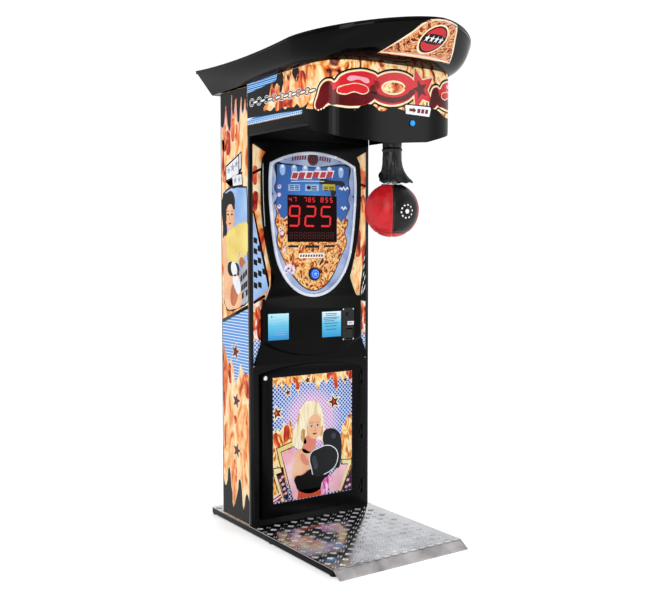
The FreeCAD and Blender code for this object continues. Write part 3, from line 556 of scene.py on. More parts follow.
reel = [(-strip_out, 1505), (-250, 1185), (-242, 1150), (-strip_out, 1100)]
stroke("strip_reel_edge", [[(-strip_out, 1520), (-240, 1165)]], 15, on_board, ink_black,
    smooth=False, lift=0.1)
print_on_board("strip_reel", [reel], ink_sky, smooth=False, lift=0.2)
print_on_board("strip_reel_windows", [[(u, v), (u + 19, v - 8), (u + 19, v - 34), (u, v - 26)]
    for u, v in ((-322, 1400), (-322, 1350), (-300, 1362), (-322, 1298), (-300, 1306), (-322, 1240),
    (-299, 1246), (-276, 1254), (-322, 1190), (-299, 1192))], ink_black, smooth=False, lift=0.5)
print_on_board("strip_dark_wedge", [[(strip_out, 1368), (312, 1280), (292, 1150), (288, 1100),
    (strip_out, 1082)]], ink_black, smooth=False, lift=0.4)
print_on_board("strip_wedge_flecks", [[(u, v), (u + 5, v + 14), (u + 9, v + 34), (u + 2, v + 20)]
    for u, v in ((306, 1150), (308, 1196), (311, 1236), (314, 1278), (296, 1108), (306, 1112), (316, 1130),
    (300, 1130), (316, 1180))], ink_white, smooth=False, lift=0.8)

# Moulded shield and console: one vacuum-formed black shell, screwed over the board, with soft
# rolled edges; its satin skin has a faint grain and picks up long soft highlights.
shell_black = finish("satin_black_shell", "09090B", "050507", 0.26, 1200, 0.04, shine=0.08)
soften("front_moulding", 0.0035, shell_black)
shield_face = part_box("front_moulding")[0][1] * 1000 + 10


def on_shield(u, v, w):
    return Vector((u, shield_face - w, v))


# Painted highlight: thin pale lines laid along the shield's left edge and flank, in place of the light the
# rolled edge catches.
painted_edge_highlight = finish("shell_edge_glint", "E8ECF2", "B4BAC6", 0.2, 300, 0.02, shine=0.7)
stroke("shield_glint", [[(-249, 1206), (-246, 1180), (-256, 1140), (-274, 1094), (-281, 1072)],
    [(-279, 1740), (-279, 1640), (-276, 1540), (-270, 1450)]], 2.6, on_shield, painted_edge_highlight)

# Display: a back-printed clear panel in a silver border with an arched top. A blue ring hall
# with lamps is printed above, and a bed of fire below, inside a wavy black outline.
silver = finish("silver_border", "E4E8F2", "B8C0D4", 0.22, 500, 0.02, shine=0.5)
soften("display_bezel", 0.0015, silver)
dress(finish("blue_grey_border", "B4C0DC", "6E84B8", 0.25, 20, 0.02), "display_panel")
panel_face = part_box("display_panel")[0][1] * 1000


def on_panel(u, v, w):
    return Vector((u, panel_face - w, v))


def print_on_panel(name, shapes, material, **cut):
    return film(name, shapes, on_panel, material, "display_print", **cut)


wave_right = [(150, 1282), (176, 1330), (196, 1375), (184, 1425), (203, 1470), (196, 1510), (213, 1545),
    (203, 1590), (216, 1625), (207, 1664), (212, 1748)]
wave_left = [(-212, 1748), (-211, 1664), (-222, 1630), (-206, 1590), (-224, 1553), (-211, 1517),
    (-219, 1470), (-204, 1422), (-210, 1380), (-190, 1326), (-157, 1266)]
bowl = [(-104, 1195), (-56, 1155), (-4, 1139), (50, 1152), (100, 1195)]
arch = [(170, 1757), (100, 1748), (0, 1735), (-110, 1744), (-170, 1746)]
mottle = fire("fire_bed", [(0.34, "2E2418"), (0.41, "A8341A"), (0.47, "DC7A30"), (0.53, "E8B45C"),
    (0.59, "F0DDA8"), (0.65, "B8602C"), (0.72, "4A5A3C")], 30, stretch=(1, 1, 0.8), twist=2.4)
print_on_panel("display_outline", [wave_left + bowl + wave_right + arch], ink_black, thick=0.2)
print_on_panel("display_fire", [[(u * 0.975, v) for u, v in wave_left[4:]] + [(u * 0.96, v + 5)
    for u, v in bowl] + [(u * 0.975, v) for u, v in wave_right[:6]]], mottle, thick=0.2, lift=0.2)
hall_blue = mesh_print("hall_blue", "3C7CCC", "173E94", 9, angles=(40, -50), glow=((0.0, panel_face / 1000,
    1.60), 0.26, ((0.0, "3E88CC"), (0.5, "1C4898"), (1.0, "0C1F58"))))
hall = [(-206, 1740)] + [(u * 0.975, v) for u, v in wave_left[1:5]] + [(-190, 1500), (-170, 1484),
    (-150, 1500), (-120, 1476), (-60, 1490), (0, 1476), (60, 1490), (110, 1478), (140, 1500), (160, 1470),
    (180, 1492), (192, 1480)] + [(u * 0.975, v) for u, v in wave_right[5:10]] + [(206, 1742), (170, 1749),
    (100, 1741), (0, 1729), (-110, 1738), (-170, 1740)]
print_on_panel("display_hall", [hall], hall_blue, smooth=False, thick=0.2, lift=0.4)
print_on_panel("display_lamps", [[(x - 9, 1738), (x + 9, 1738), (x + 15, 1712), (x + 5, 1690),
    (x - 5, 1690), (x - 15, 1712)] for x in (-176, -112, -50, 24, 90, 158)], ink_sky, thick=0.16, lift=0.6)
print_on_panel("display_lamp_glow", [disc((x, 1731), 8, 7) for x in (-176, -112, -50, 24, 90, 158)],
    ink_white, thick=0.16, lift=0.75)
print_on_panel("display_banner_edge", [[(u - 5, v - 4), (u + 34, v - 4), (u + 48, v + 34), (u + 9, v + 34)]
    for u, v in ((-128, 1676), (-88, 1679), (-48, 1681), (-8, 1684), (32, 1686), (72, 1689))], ink_white,
    smooth=False, thick=0.2, lift=0.8)
print_on_panel("display_banner", [[(u, v), (u + 30, v), (u + 41, v + 28), (u + 11, v + 28)]
    for u, v in ((-128, 1676), (-88, 1679), (-48, 1681), (-8, 1684), (32, 1686), (72, 1689))], ink_red,
    smooth=False, thick=0.2, lift=1.0)
stroke("display_banner_line", [[(-130, 1662), (-40, 1667), (60, 1669)]], 3.4, on_panel, ink_white,
    lift=0.8)
print_on_panel("display_shadow", [[(30, 1668), (110, 1674), (182, 1660), (176, 1648), (130, 1650),
    (126, 1606), (104, 1600), (100, 1650), (40, 1655)]], ink_black, thick=0.16, lift=0.6)
print_on_panel("display_tabs", [[(-144, 1648), (-80, 1650), (-80, 1620), (-144, 1618)],
    [(-50, 1651), (28, 1653), (28, 1622), (-50, 1620)]], ink_sky, smooth=False, thick=0.16, lift=0.9)
print_on_panel("display_tab_gold", [[(50, 1655), (124, 1657), (124, 1626), (50, 1624)]],
    finish("printed_gold", "D9C23A", "A08A20", 0.25, 700, 0.02), smooth=False, thick=0.16, lift=1.1)
print_on_panel("display_tab_marks", [strip(u, v, wide, 4) for u, wide in ((-138, 24), (-108, 22), (-14, 30),
    (56, 26), (88, 30)) for v in (1644, 1636, 1628)] + [disc((-30, 1636), 12, 10)], ink_black, smooth=False,
    thick=0.16, lift=1.3)
print_on_panel("display_waves", [[(144, 1632), (156, 1646), (164, 1636), (174, 1650), (184, 1636),
    (196, 1648), (208, 1634), (196, 1638), (184, 1626), (174, 1640), (164, 1626), (156, 1636)],
    [(156, 1540), (166, 1552), (174, 1540), (184, 1554), (196, 1536), (184, 1542), (174, 1530),
    (166, 1542)]], ink_white, smooth=False, thick=0.2, lift=0.8)
print_on_panel("display_lilac", [[(u, v), (u + 11, v + 9), (u + 22, v + 2), (u + 16, v - 12),
    (u + 3, v - 12)] for u, v in ((-204, 1638), (-206, 1600), (-206, 1545), (-200, 1440), (-190, 1420),
    (-180, 1340))] + [disc((-146, 1254), 26, 16, 20), disc((-122, 1244), 14, 22), disc((-160, 1236), 12,
    9)], finish("printed_lilac", "F2ECFA", "C9A8DC", 0.25, 700, 0.02), smooth=False, thick=0.2, lift=0.8)
print_on_panel("display_lilac_ink", [disc((-146, 1250), 8, 4, 30), disc((-126, 1240), 3, 8),
    disc((-158, 1236), 4, 3), disc((-194, 1638), 5, 3), disc((-196, 1545), 5, 3), disc((-188, 1438), 5, 3)],
    ink_black, thick=0.16, lift=1.1)
print_on_panel("display_low_tabs", [[(-146, 1360), (-88, 1360), (-88, 1350), (-146, 1350)],
    [(-50, 1360), (28, 1360), (28, 1348), (-50, 1348)], [(58, 1361), (120, 1361), (120, 1351), (58, 1351)]],
    ink_black, smooth=False, thick=0.14, lift=0.5)
print_on_panel("display_low_bar", [[(-84, 1321), (58, 1321), (54, 1299), (-88, 1299)]], ink_white,
    smooth=False, thick=0.16, lift=0.6)
print_on_panel("display_low_bar_slots", [[(u, 1316), (u + 10, 1316), (u + 7, 1304), (u - 3, 1304)]
    for u in range(-78, 50, 15)], ink_maroon, smooth=False, thick=0.16, lift=0.8)
print_on_panel("display_medallion_back", [disc((-5, 1773), 31)], ink_black, thick=0.2, lift=0.3)
print_on_panel("display_medallion", [disc((-5, 1773), 27), disc((-5, 1773), 19), disc((-5, 1773), 13),
    disc((-5, 1773), 6)], ink_maroon, thick=0.2, lift=0.6)
print_on_panel("display_arch_marks", [[(u, v), (u + 9, v + 1), (u + 6, v - 19), (u - 3, v - 20)]
    for u, v in ((-122, 1778), (-108, 1781), (-94, 1783), (-80, 1785), (-66, 1786), (-52, 1787), (34, 1787),
    (48, 1786), (62, 1785), (76, 1783), (90, 1781))], ink_maroon, smooth=False, thick=0.2, lift=0.3)
print_on_panel("display_screws", [disc(at, 4.6) for at in ((-162, 1767), (152, 1770), (0, 1123),
    (-222, 1350), (-232, 1480), (-233, 1600), (222, 1350), (232, 1480), (233, 1600))], ink_black, thick=0.5,
    lift=0.3)

window_low, window_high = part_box("score_window")
for piece in ("display_outline", "display_fire", "display_hall"):
    bpy.ops.mesh.primitive_cube_add(size=1, location=[(p + q) / 2 for p, q in zip(window_low, window_high)])
    hole = bpy.context.object
    hole.scale = [(q - p) + 0.0005 + 0.04 * (i == 1) for i, (p, q) in enumerate(zip(window_low,
        window_high))]
    cut = bpy.data.objects[piece].modifiers.new("window", "BOOLEAN")
    cut.operation = "DIFFERENCE"
    cut.object = hole
    only(bpy.data.objects[piece])
    bpy.ops.object.modifier_apply(modifier="window")
    bpy.data.objects.remove(hole)

# Score window: a dark red filter with lit seven-segment digits behind it; the three large
# figures give the punch, the small rows above and below give the day's best and the credits.
window_red = finish("dark_red_filter", "220405", "120203", 0.14, 300, 0.02, shine=0.02)
dress(window_red, "score_window")
window_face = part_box("score_window")[0][1] * 1000


def on_window(u, v, w):
    return Vector((u, window_face - w, v))


def figures(text, left, low, wide, high, thick, step):
    """Seven-segment figures as slanted bars."""
    lit = {"0": "abcdef", "1": "bc", "2": "abged", "3": "abgcd", "4": "fgbc", "5": "afgcd", "6": "afgedc",
        "7": "abc", "8": "abcdefg", "9": "abcdfg"}
    bars = []
    for i, figure in enumerate(text):
        x, h, g = left + i * step, high / 2, thick * 0.55
        ends = {"a": ((x, low + high), (x + wide, low + high)), "d": ((x, low), (x + wide, low)),
            "g": ((x, low + h), (x + wide, low + h)), "b": ((x + wide, low + h), (x + wide, low + high)),
            "c": ((x + wide, low), (x + wide, low + h)), "e": ((x, low), (x, low + h)),
            "f": ((x, low + h), (x, low + high))}
        for name in lit[figure]:
            (u0, v0), (u1, v1) = ends[name]
            if v0 == v1:
                bar = [(u0 + g, v0 - thick / 2), (u1 - g, v1 - thick / 2), (u1 - g * 0.3, v1),
                    (u1 - g, v1 + thick / 2), (u0 + g, v0 + thick / 2), (u0 + g * 0.3, v0)]
            else:
                bar = [(u0 - thick / 2, v0 + g), (u0, v0 + g * 0.3), (u0 + thick / 2, v0 + g),
                    (u1 + thick / 2, v1 - g), (u1, v1 - g * 0.3), (u1 - thick / 2, v1 - g)]
            bars.append([(u + (v - low) * 0.07, v) for u, v in bar])
    return bars


def lamp(name, colour, glow, strength):
    made = finish(name, colour, colour, 0.3, 300, 0.02)
    shader = made.node_tree.nodes["Principled BSDF"]
    shader.inputs["Emission Color"].default_value = hue(glow)
    shader.inputs["Emission Strength"].default_value = strength
    return made


led_red = lamp("lit_red_segments", "B01018", "E01824", 0.55)
led_dim = lamp("dim_red_segments", "3C080C", "5A0A10", 0.12)
digits = film("score_segments", figures("925", -140, 1453, 54, 93, 9, 90), on_window, led_red, "led_red",
    smooth=False, thick=0.4)
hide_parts("score_digits")
film("score_best_segments", figures("47", -140, 1567, 13, 20, 3.6, 26) + figures("785", -56, 1568, 13, 20,
    3.6, 24) + figures("855", 40, 1569, 14, 21, 4.4, 27), on_window, led_red, "led_red", smooth=False,
    thick=0.4)
film("score_credit_segments", figures("8888888888", -136, 1392, 15, 30, 2.4, 26), on_window, led_dim,
    "led_red", smooth=False, thick=0.3)
dress(finish("green_circuit_board", "0B3A1C", "06240F", 0.4, 300, 0.05), "display_board", "control_board")

# Push buttons: lit blue caps that travel in moulded black cups. The cap is clear moulded
# plastic over a lamp, paler in the middle where the lamp sits.
chrome = finish("bright_chrome", "D4D6DA", "B8BBC2", 0.08, 200, 0.02, metal=1.0)
button_dark = finish("button_cup_black", "10131C", "0A0C14", 0.25, 500, 0.03)
soften("select_button_bezel", 0.0012, button_dark, steps=2)
soften("start_button_bezel", 0.001, button_dark, steps=2)
soften("select_button", 0.0022, lamp("lit_blue_cap", "1C50C8", "1E58D8", 0.35),
    "select_button_body")
soften("start_button", 0.0016, lamp("lit_cyan_cap", "1E7CC8", "2A9CE8", 0.5),
    "start_button_body")
cap_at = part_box("select_button")
select_z = (cap_at[0][2] + cap_at[1][2]) * 500


def on_cap(u, v, w):
    return Vector((u, cap_at[0][1] * 1000 - w, v))


film("select_button_mark", [star((0, select_z), 14), disc((0, select_z), 20), disc((0, select_z), 17)],
    on_cap, lamp("pale_blue_mark", "6C9CEC", "7CACF4", 0.4), "button_blue", "select_button_body",
    smooth=False, thick=0.3)

# Console fittings: two printed cards, a textured black coin plate with a white slot, a reject
# button and a return cup, held by bright screws at the corners.


def card_stock(name, top, bottom, low, high):
    made = finish(name, top, top, 0.35, 500, 0.03)
    tree = made.node_tree
    place = tree.nodes.new("ShaderNodeTexCoord")
    split = tree.nodes.new("ShaderNodeSeparateXYZ")
    tree.links.new(place.outputs["Object"], split.inputs["Vector"])
    span = tree.nodes.new("ShaderNodeMapRange")
    span.inputs["From Min"].default_value = low
    span.inputs["From Max"].default_value = high
    tree.links.new(split.outputs["Z"], span.inputs["Value"])
    fade = ramp(tree, span.outputs["Result"], ((0.0, bottom), (0.55, "5FC0E2"), (1.0, top)))
    tree.links.new(fade, tree.nodes["Principled BSDF"].inputs["Base Color"])
    return made


dress(card_stock("card_print_left", "B8E8F0", "2C86C8", 0.913, 1.038), "instruction_card_left")
dress(card_stock("card_print_right", "DDF2FA", "3494D0", 0.911, 1.036), "instruction_card_right")
console_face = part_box("instruction_card_left")[0][1] * 1000


def on_console(u, v, w):
    return Vector((u, console_face - w, v))


film("card_lines", [strip(left, v, wide, 2.2) for left, wide, v in ((-246, 30, 1024), (-246, 60, 1010),
    (-230, 70, 996), (-226, 66, 984), (-216, 58, 972), (-220, 60, 960), (-246, 80, 948), (-236, 72, 938))],
    on_console, ink_sky, "card_blue", smooth=False, thick=0.2)
film("card_ink", [strip(left, v, wide, 3) for left, wide, v in ((62, 68, 1027), (66, 62, 1019),
    (52, 92, 1008), (50, 80, 1001), (56, 60, 992), (52, 84, 980), (62, 66, 966), (66, 60, 950))]
    + [disc((-242, 1024), 4)], on_console, finish("card_ink_blue", "2A4C78", "1E3A60", 0.4, 500, 0.02),
    "card_blue", smooth=False, thick=0.2)
coin_black = finish("textured_black", "0F1012", "08090A", 0.45, 900, 0.14, shine=0.35)
soften("coin_entry_plate", 0.0012, coin_black, steps=2)
soften("reject_button", 0.001, coin_black, "reject_button_body", steps=2)
dress(coin_black, "coin_return_cup", "coin_return_flap", "power_inlet", "power_switch")
slot_white = finish("white_slot_plastic", "F7F8FA", "E4E7EC", 0.2, 300, 0.02)
soften("coin_slot_bezel", 0.0012, slot_white, steps=2)
dress(finish("bright_screw", "D8DADF", "B0B4BC", 0.2, 400, 0.04, metal=0.9), "front_screws")
dress(finish("zinc_plate", "B2B4B6", "8F9294", 0.33, 350, 0.06, metal=1.0, stretch=(1, 1, 0.2)),
    "coin_mech", "cash_box", "power_supply", "latch_disc", "latch_pawl", "latch_solenoid",
    "solenoid_plunger", "lock_cam", "pivot_bearings", "pivot_shaft", "arm_tube")

# Lower door: a moulded black skin on a plywood board, hinged on the right and locked at the top
# left, with a printed picture set in a shallow recess behind a clear film.
soften("door_skin", 0.003, shell_black, "door")
soften("door_lock", 0.0008, chrome, "door", steps=2)
picture_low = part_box("door_picture")[0]
picture_face = picture_low[1] * 1000
dress(mesh_print("picture_ground", "E4EEFF", "1E3F94", 14, glow=((-0.012, picture_low[1], 0.50), 0.30,
    ((0.0, "E8A8CC"), (0.40, "C888C0"), (0.60, "2E66B8"), (1.0, "14287C")))), "door_picture")


def on_picture(u, v, w):
    return Vector((min(max(u, -230.0), 230.0), picture_face - w, min(max(v, 126.0), 732.0)))


def print_on_door(name, shapes, material, smooth=True, lift=0.0, thick=0.16):
    return film("picture_" + name, shapes, on_picture, material, "picture_print", "door", smooth, thick,
        lift)


flame_gold = fire("flame_gold", [(0.30, "7A3010"), (0.38, "D06A24"), (0.46, "F0A850"), (0.54, "F8DA94"),
    (0.62, "FBEBC0"), (0.70, "E08A3C"), (0.80, "8A3A16")], 34, stretch=(1, 1, 0.45))
print_on_door("fire_top", [[(-230, 732), (-230, 684), (-222, 712), (-212, 672), (-200, 706), (-186, 690),
    (-176, 668), (-164, 708), (-150, 690), (-132, 676), (-118, 712), (-102, 690), (-88, 640), (-74, 688),
    (-60, 716), (-44, 690), (-30, 706), (-14, 694), (0, 700), (14, 676), (29, 650), (42, 690), (58, 704),
    (74, 672), (88, 700), (104, 712), (122, 680), (136, 636), (146, 690), (160, 712), (174, 684),
    (188, 716), (204, 690), (216, 706), (230, 668), (230, 732)]], flame_gold, smooth=False)
print_on_door("fire_top_red", [[(80, 732), (92, 700), (104, 716), (120, 690), (134, 650), (140, 700),
    (128, 732)], [(-120, 726), (-104, 706), (-90, 664), (-92, 712)], [(196, 732), (206, 706), (222, 690),
    (230, 732)]], flame_red, lift=0.16)
print_on_door("fire_sides", [[(-230, 470), (-222, 488), (-214, 462), (-206, 500), (-196, 470), (-180, 486),
    (-168, 520), (-158, 480), (-146, 496), (-132, 520), (-118, 470), (-128, 400), (-140, 300), (-160, 200),
    (-230, 126)], [(230, 500), (220, 524), (206, 486), (196, 500), (186, 462), (174, 476), (166, 430),
    (160, 360), (170, 270), (150, 180), (230, 126)]], flame_gold, smooth=False)
print_on_door("fire_sides_red", [[(-228, 440), (-214, 470), (-202, 430), (-190, 400), (-210, 400)],
    [(-170, 470), (-156, 500), (-140, 440), (-160, 420)]], flame_red, lift=0.16)
spots = ((-34, 706, 20), (-146, 656, 18), (120, 585, 34), (-208, 562, 31), (190, 690, 16))
print_on_door("star_edges", [star((u, v), s * 1.4, 14) for u, v, s in spots], ink_cream, False, 0.3)
print_on_door("stars", [star((u, v), s, 14) for u, v, s in spots], ink_maroon, False, 0.46)
print_on_door("star_hearts", [star((u, v), s * 0.4, 14) for u, v, s in spots[2:4]], flame_red, False, 0.6)
stroke("picture_card_edges", [[(-211, 392), (-112, 416), (-106, 392), (-186, 372), (-122, 128),
    (-146, 128)], [(-229, 298), (-176, 296), (-172, 274), (-212, 268), (-166, 128), (-186, 128),
    (-229, 262)], [(168, 288), (229, 282), (229, 262), (166, 128), (146, 128), (204, 262), (172, 264)]], 7,
    on_picture, ink_maroon, "door", smooth=False, closed=True, lift=0.25)
card_gold = finish("printed_pale_gold", "F6EDB8", "E0C878", 0.25, 500, 0.02)
print_on_door("cards", [[(-211, 392), (-112, 416), (-106, 392), (-186, 372), (-122, 126), (-146, 126)],
    [(-230, 298), (-176, 296), (-172, 274), (-212, 268), (-166, 126), (-186, 126), (-230, 262)],
    [(168, 288), (230, 282), (230, 262), (166, 126), (146, 126), (204, 262), (172, 264)]], card_gold, False,
    0.32)
print_on_door("card_insides", [[(-206, 258), (-174, 270), (-142, 146), (-160, 130)],
    [(230, 240), (196, 190), (176, 150), (172, 128), (230, 128)]], finish("printed_plum", "3A2444",
    "1C1226", 0.25, 500, 0.02), False, 0.48)
print_on_door("card_flowers", [disc(at, 9, 7, 20, 6) for at in ((-190, 236), (-178, 250), (-176, 214),
    (-168, 190), (-160, 168), (206, 180), (216, 152), (196, 146))], ink_pink, lift=0.62)
print_on_door("card_cream", [[(-184, 366), (-112, 384), (-96, 350), (-108, 262), (-84, 134), (-116, 128)],
    [(96, 216), (160, 264), (202, 258), (156, 138), (98, 130), (86, 176)]], finish("printed_pink_silk",
    "F9DCE2", "E89CB0", 0.3, 30, 0.02), False, 0.48)
print_on_door("ribbons", [[(-230, 150), (-190, 170), (-178, 150), (-230, 128)]], ink_red, False, 0.5)
print_on_door("ribbon_lines", [[(-230, 158), (-196, 174), (-194, 168), (-230, 151)],
    [(-230, 143), (-186, 162), (-184, 156), (-230, 136)]], ink_white, False, 0.66)
hair_pale = fire("pale_blond_hair", [(0.3, "C99C5C"), (0.42, "EAD7A6"), (0.55, "F7EFD6"), (0.7, "E6D2A6")],
    30, stretch=(1.6, 1.6, 0.25), twist=0.6)
hair_deep = fire("deep_blond_hair", [(0.3, "8C5A34"), (0.5, "C79C5E"), (0.7, "E7D3A0")], 40,
    stretch=(1.6, 1.6, 0.25), twist=0.6)
print_on_door("hair", [[(-17, 604), (-52, 594), (-80, 560), (-94, 515), (-112, 474), (-124, 431),
    (-118, 396), (-100, 380), (-84, 372), (-66, 360), (-52, 380), (-30, 400), (10, 412), (44, 400),
    (60, 404), (68, 448), (60, 499), (50, 545), (26, 590)]], hair_pale, lift=0.5)
print_on_door("hair_low", [[(-74, 440), (-60, 400), (-44, 396), (-50, 430), (-58, 470)],
    [(34, 430), (48, 420), (54, 452), (46, 480)]], hair_deep, lift=0.66)
skin = finish("printed_warm_skin", "F7CBA8", "E9AE86", 0.28, 60, 0.02)
blush = finish("printed_blush", "EE9C86", "D87C68", 0.28, 60, 0.02)
print_on_door("neck", [[(-44, 430), (6, 432), (12, 384), (6, 366), (-30, 346), (-66, 364), (-60, 396)]],
    blush, lift=0.66)
print_on_door("shoulder", [[(-96, 366), (-64, 374), (-30, 356), (-6, 344), (-14, 300), (-18, 262),
    (-60, 240), (-104, 226), (-124, 250), (-122, 280), (-112, 320)]], skin, lift=0.66)
print_on_door("shoulder_shade", [[(-70, 350), (-44, 330), (-30, 290), (-60, 300), (-76, 330)],
    [(-112, 240), (-60, 244), (-30, 262), (-60, 254), (-104, 232)]], blush, lift=0.8)
head_lean, head_at = -4.0, (6.0, 474.0)
print_on_door("head", [disc(head_at, 43, 61, head_lean, 16)], skin, lift=0.8)
print_on_door("cheeks", [disc((head_at[0] - 24, head_at[1] - 14), 10, 8), disc((head_at[0] + 24,
    head_at[1] - 14), 10, 8)], ink_pink, lift=0.86, thick=0.08)
print_on_door("fringe", [[(-40, 500), (-44, 540), (-20, 566), (10, 560), (40, 540), (50, 500), (46, 470),
    (38, 510), (20, 532), (-6, 540), (-28, 520), (-38, 470)]], hair_pale, lift=0.96)
print_on_door("eye_whites", [disc((head_at[0] - 18, head_at[1] + 3), 9, 4.4), disc((head_at[0] + 18,
    head_at[1] + 3), 9, 4.4)], ink_white, lift=0.96)
print_on_door("eyes", [disc((head_at[0] - 18, head_at[1] + 3), 4, 4), disc((head_at[0] + 18,
    head_at[1] + 3), 4, 4)], ink_black, lift=1.1)
stroke("picture_lashes", [[(head_at[0] - 28, head_at[1] + 3), (head_at[0] - 18, head_at[1] + 9),
    (head_at[0] - 8, head_at[1] + 4)], [(head_at[0] + 8, head_at[1] + 4), (head_at[0] + 18, head_at[1] + 9),
    (head_at[0] + 28, head_at[1] + 3)]], 2.0, on_picture, ink_black, "door", lift=1.1)
stroke("picture_brows", [[(head_at[0] - 29, head_at[1] + 17), (head_at[0] - 18, head_at[1] + 21),
    (head_at[0] - 7, head_at[1] + 18)], [(head_at[0] + 7, head_at[1] + 18), (head_at[0] + 18,
    head_at[1] + 21), (head_at[0] + 29, head_at[1] + 17)]], 2.4, on_picture, ink_shade,
    "door", lift=1.1)
stroke("picture_nose", [[(head_at[0] + 3, head_at[1] - 2), (head_at[0] + 5, head_at[1] - 17),
    (head_at[0] - 2, head_at[1] - 20), (head_at[0] - 6, head_at[1] - 18)]], 1.8, on_picture, ink_shade,
    "door", lift=1.1)
print_on_door("lips", [[(head_at[0] - 12, head_at[1] - 34), (head_at[0] - 4, head_at[1] - 31),
    (head_at[0], head_at[1] - 32), (head_at[0] + 4, head_at[1] - 31), (head_at[0] + 12, head_at[1] - 34),
    (head_at[0], head_at[1] - 40)]], ink_red, lift=1.1)
print_on_door("vest", [[(-110, 234), (-60, 246), (-17, 266), (29, 250), (92, 240), (80, 210), (64, 196),
    (42, 160), (-86, 168), (-104, 200)]], ink_black, lift=0.9)
print_on_door("belt", [[(-88, 171), (46, 166), (46, 128), (-96, 128)]], finish("printed_orange_red",
    "E2603C", "B83A22", 0.25, 60, 0.02), False, 0.9)
print_on_door("scarf", [[(42, 160), (60, 204), (90, 216), (108, 212), (92, 160), (70, 126), (50, 126)]],
    fire("magenta_silk", [(0.35, "C22C8C"), (0.5, "E87CC0"), (0.62, "FBE6F2")], 40), lift=1.0)
glove_black = finish("printed_glove_black", "14171D", "07080B", 0.25, 40, 0.02)
print_on_door("glove_back", [[(56, 430), (64, 446), (88, 454), (123, 449), (153, 425), (166, 387),
    (167, 337), (162, 287), (142, 248), (120, 300), (90, 340), (62, 376)]], glove_black, lift=1.05)
print_on_door("glove_front", [[(-17, 348), (29, 366), (76, 373), (117, 360), (143, 330), (146, 294),
    (131, 259), (100, 239), (58, 225), (0, 232), (-13, 271), (-24, 312)]], glove_black, lift=1.2)
stroke("picture_piping", [[(-6, 236), (-14, 271), (-24, 312), (-15, 346), (29, 364), (76, 372), (116, 359),
    (141, 330), (143, 296), (128, 262), (98, 241), (60, 228)]], 5.0, on_picture, ink_white,
    "door", lift=1.3)
print_on_door("glove_glow", [[(0, 330), (20, 300), (14, 260), (-2, 280)], [(104, 420), (120, 430),
    (132, 410), (118, 400)]], finish("printed_slate", "3C4654", "2A323E", 0.25, 60, 0.02), lift=1.36,
    thick=0.1)

# Head: a printed film round a moulded skin, with a gloss black lip below and a mirror-black
# plate underneath. The print runs black, blue and chained at the sides to fire at the front.
lip_black = finish("gloss_black_lip", "08080A", "050506", 0.12, 500, 0.03, shine=0.1)
dress(lip_black, "head_lip")
dress(finish("mirror_black_plate", "060608", "040405", 0.05, 200, 0.01, shine=0.7), "underside_plate")
dress(fire("fascia_fire", [(0.30, "2A0C08"), (0.37, "9C3418"), (0.44, "E8883C"), (0.52, "F8D08C"),
    (0.60, "FCEBC0"), (0.68, "F0A858"), (0.78, "B0441C")], 13, stretch=(1, 1, 0.8), twist=2.6),
    "fascia_skin")
skin_low, skin_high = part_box("fascia_skin")
reach_x, bow_back, bow_depth = skin_high[0] * 1000, -130.0, -130.0 - skin_low[1] * 1000
trail = [Vector((-reach_x, skin_high[1] * 1000)), Vector((-reach_x, bow_back))]
for i in range(1, 360):
    a = math.radians(-180 + i * 0.5)
    c, s = abs(math.cos(a)), abs(math.sin(a))
    r = ((c / reach_x) ** 4 + (s / bow_depth) ** 4) ** -0.25
    trail.append(Vector((r * math.cos(a), bow_back + r * math.sin(a))))
trail += [Vector((reach_x, bow_back)), Vector((reach_x, skin_high[1] * 1000))]
mileage = [0.0]
for one, two in zip(trail[:-1], trail[1:]):
    mileage.append(mileage[-1] + (two - one).length)
round_all = mileage[-1]


def eave(y):
    """The seam between the printed head and the roof, which climbs a little towards the front."""
    return 2090.5 + 0.0215 * (600 - y)


def on_fascia(u, v, w):
    """The flat print wrapped round the head: u runs from the left rear edge round the front."""
    u = min(max(u, 0.5), round_all - 0.5)
    i = 1
    while mileage[i] < u:
        i += 1
    ahead = (trail[i] - trail[i - 1]).normalized()
    at = trail[i - 1] + ahead * (u - mileage[i - 1])
    return Vector((at.x + ahead.y * w, at.y - ahead.x * w, min(v, eave(at.y) - 1.5)))


def on_fascia_right(u, v, w):
    return on_fascia(round_all - u, v, w)


def print_on_head(name, shapes, material, **cut):
    return film(name, shapes, on_fascia, material, "fascia_print", bands=wrap, **cut)


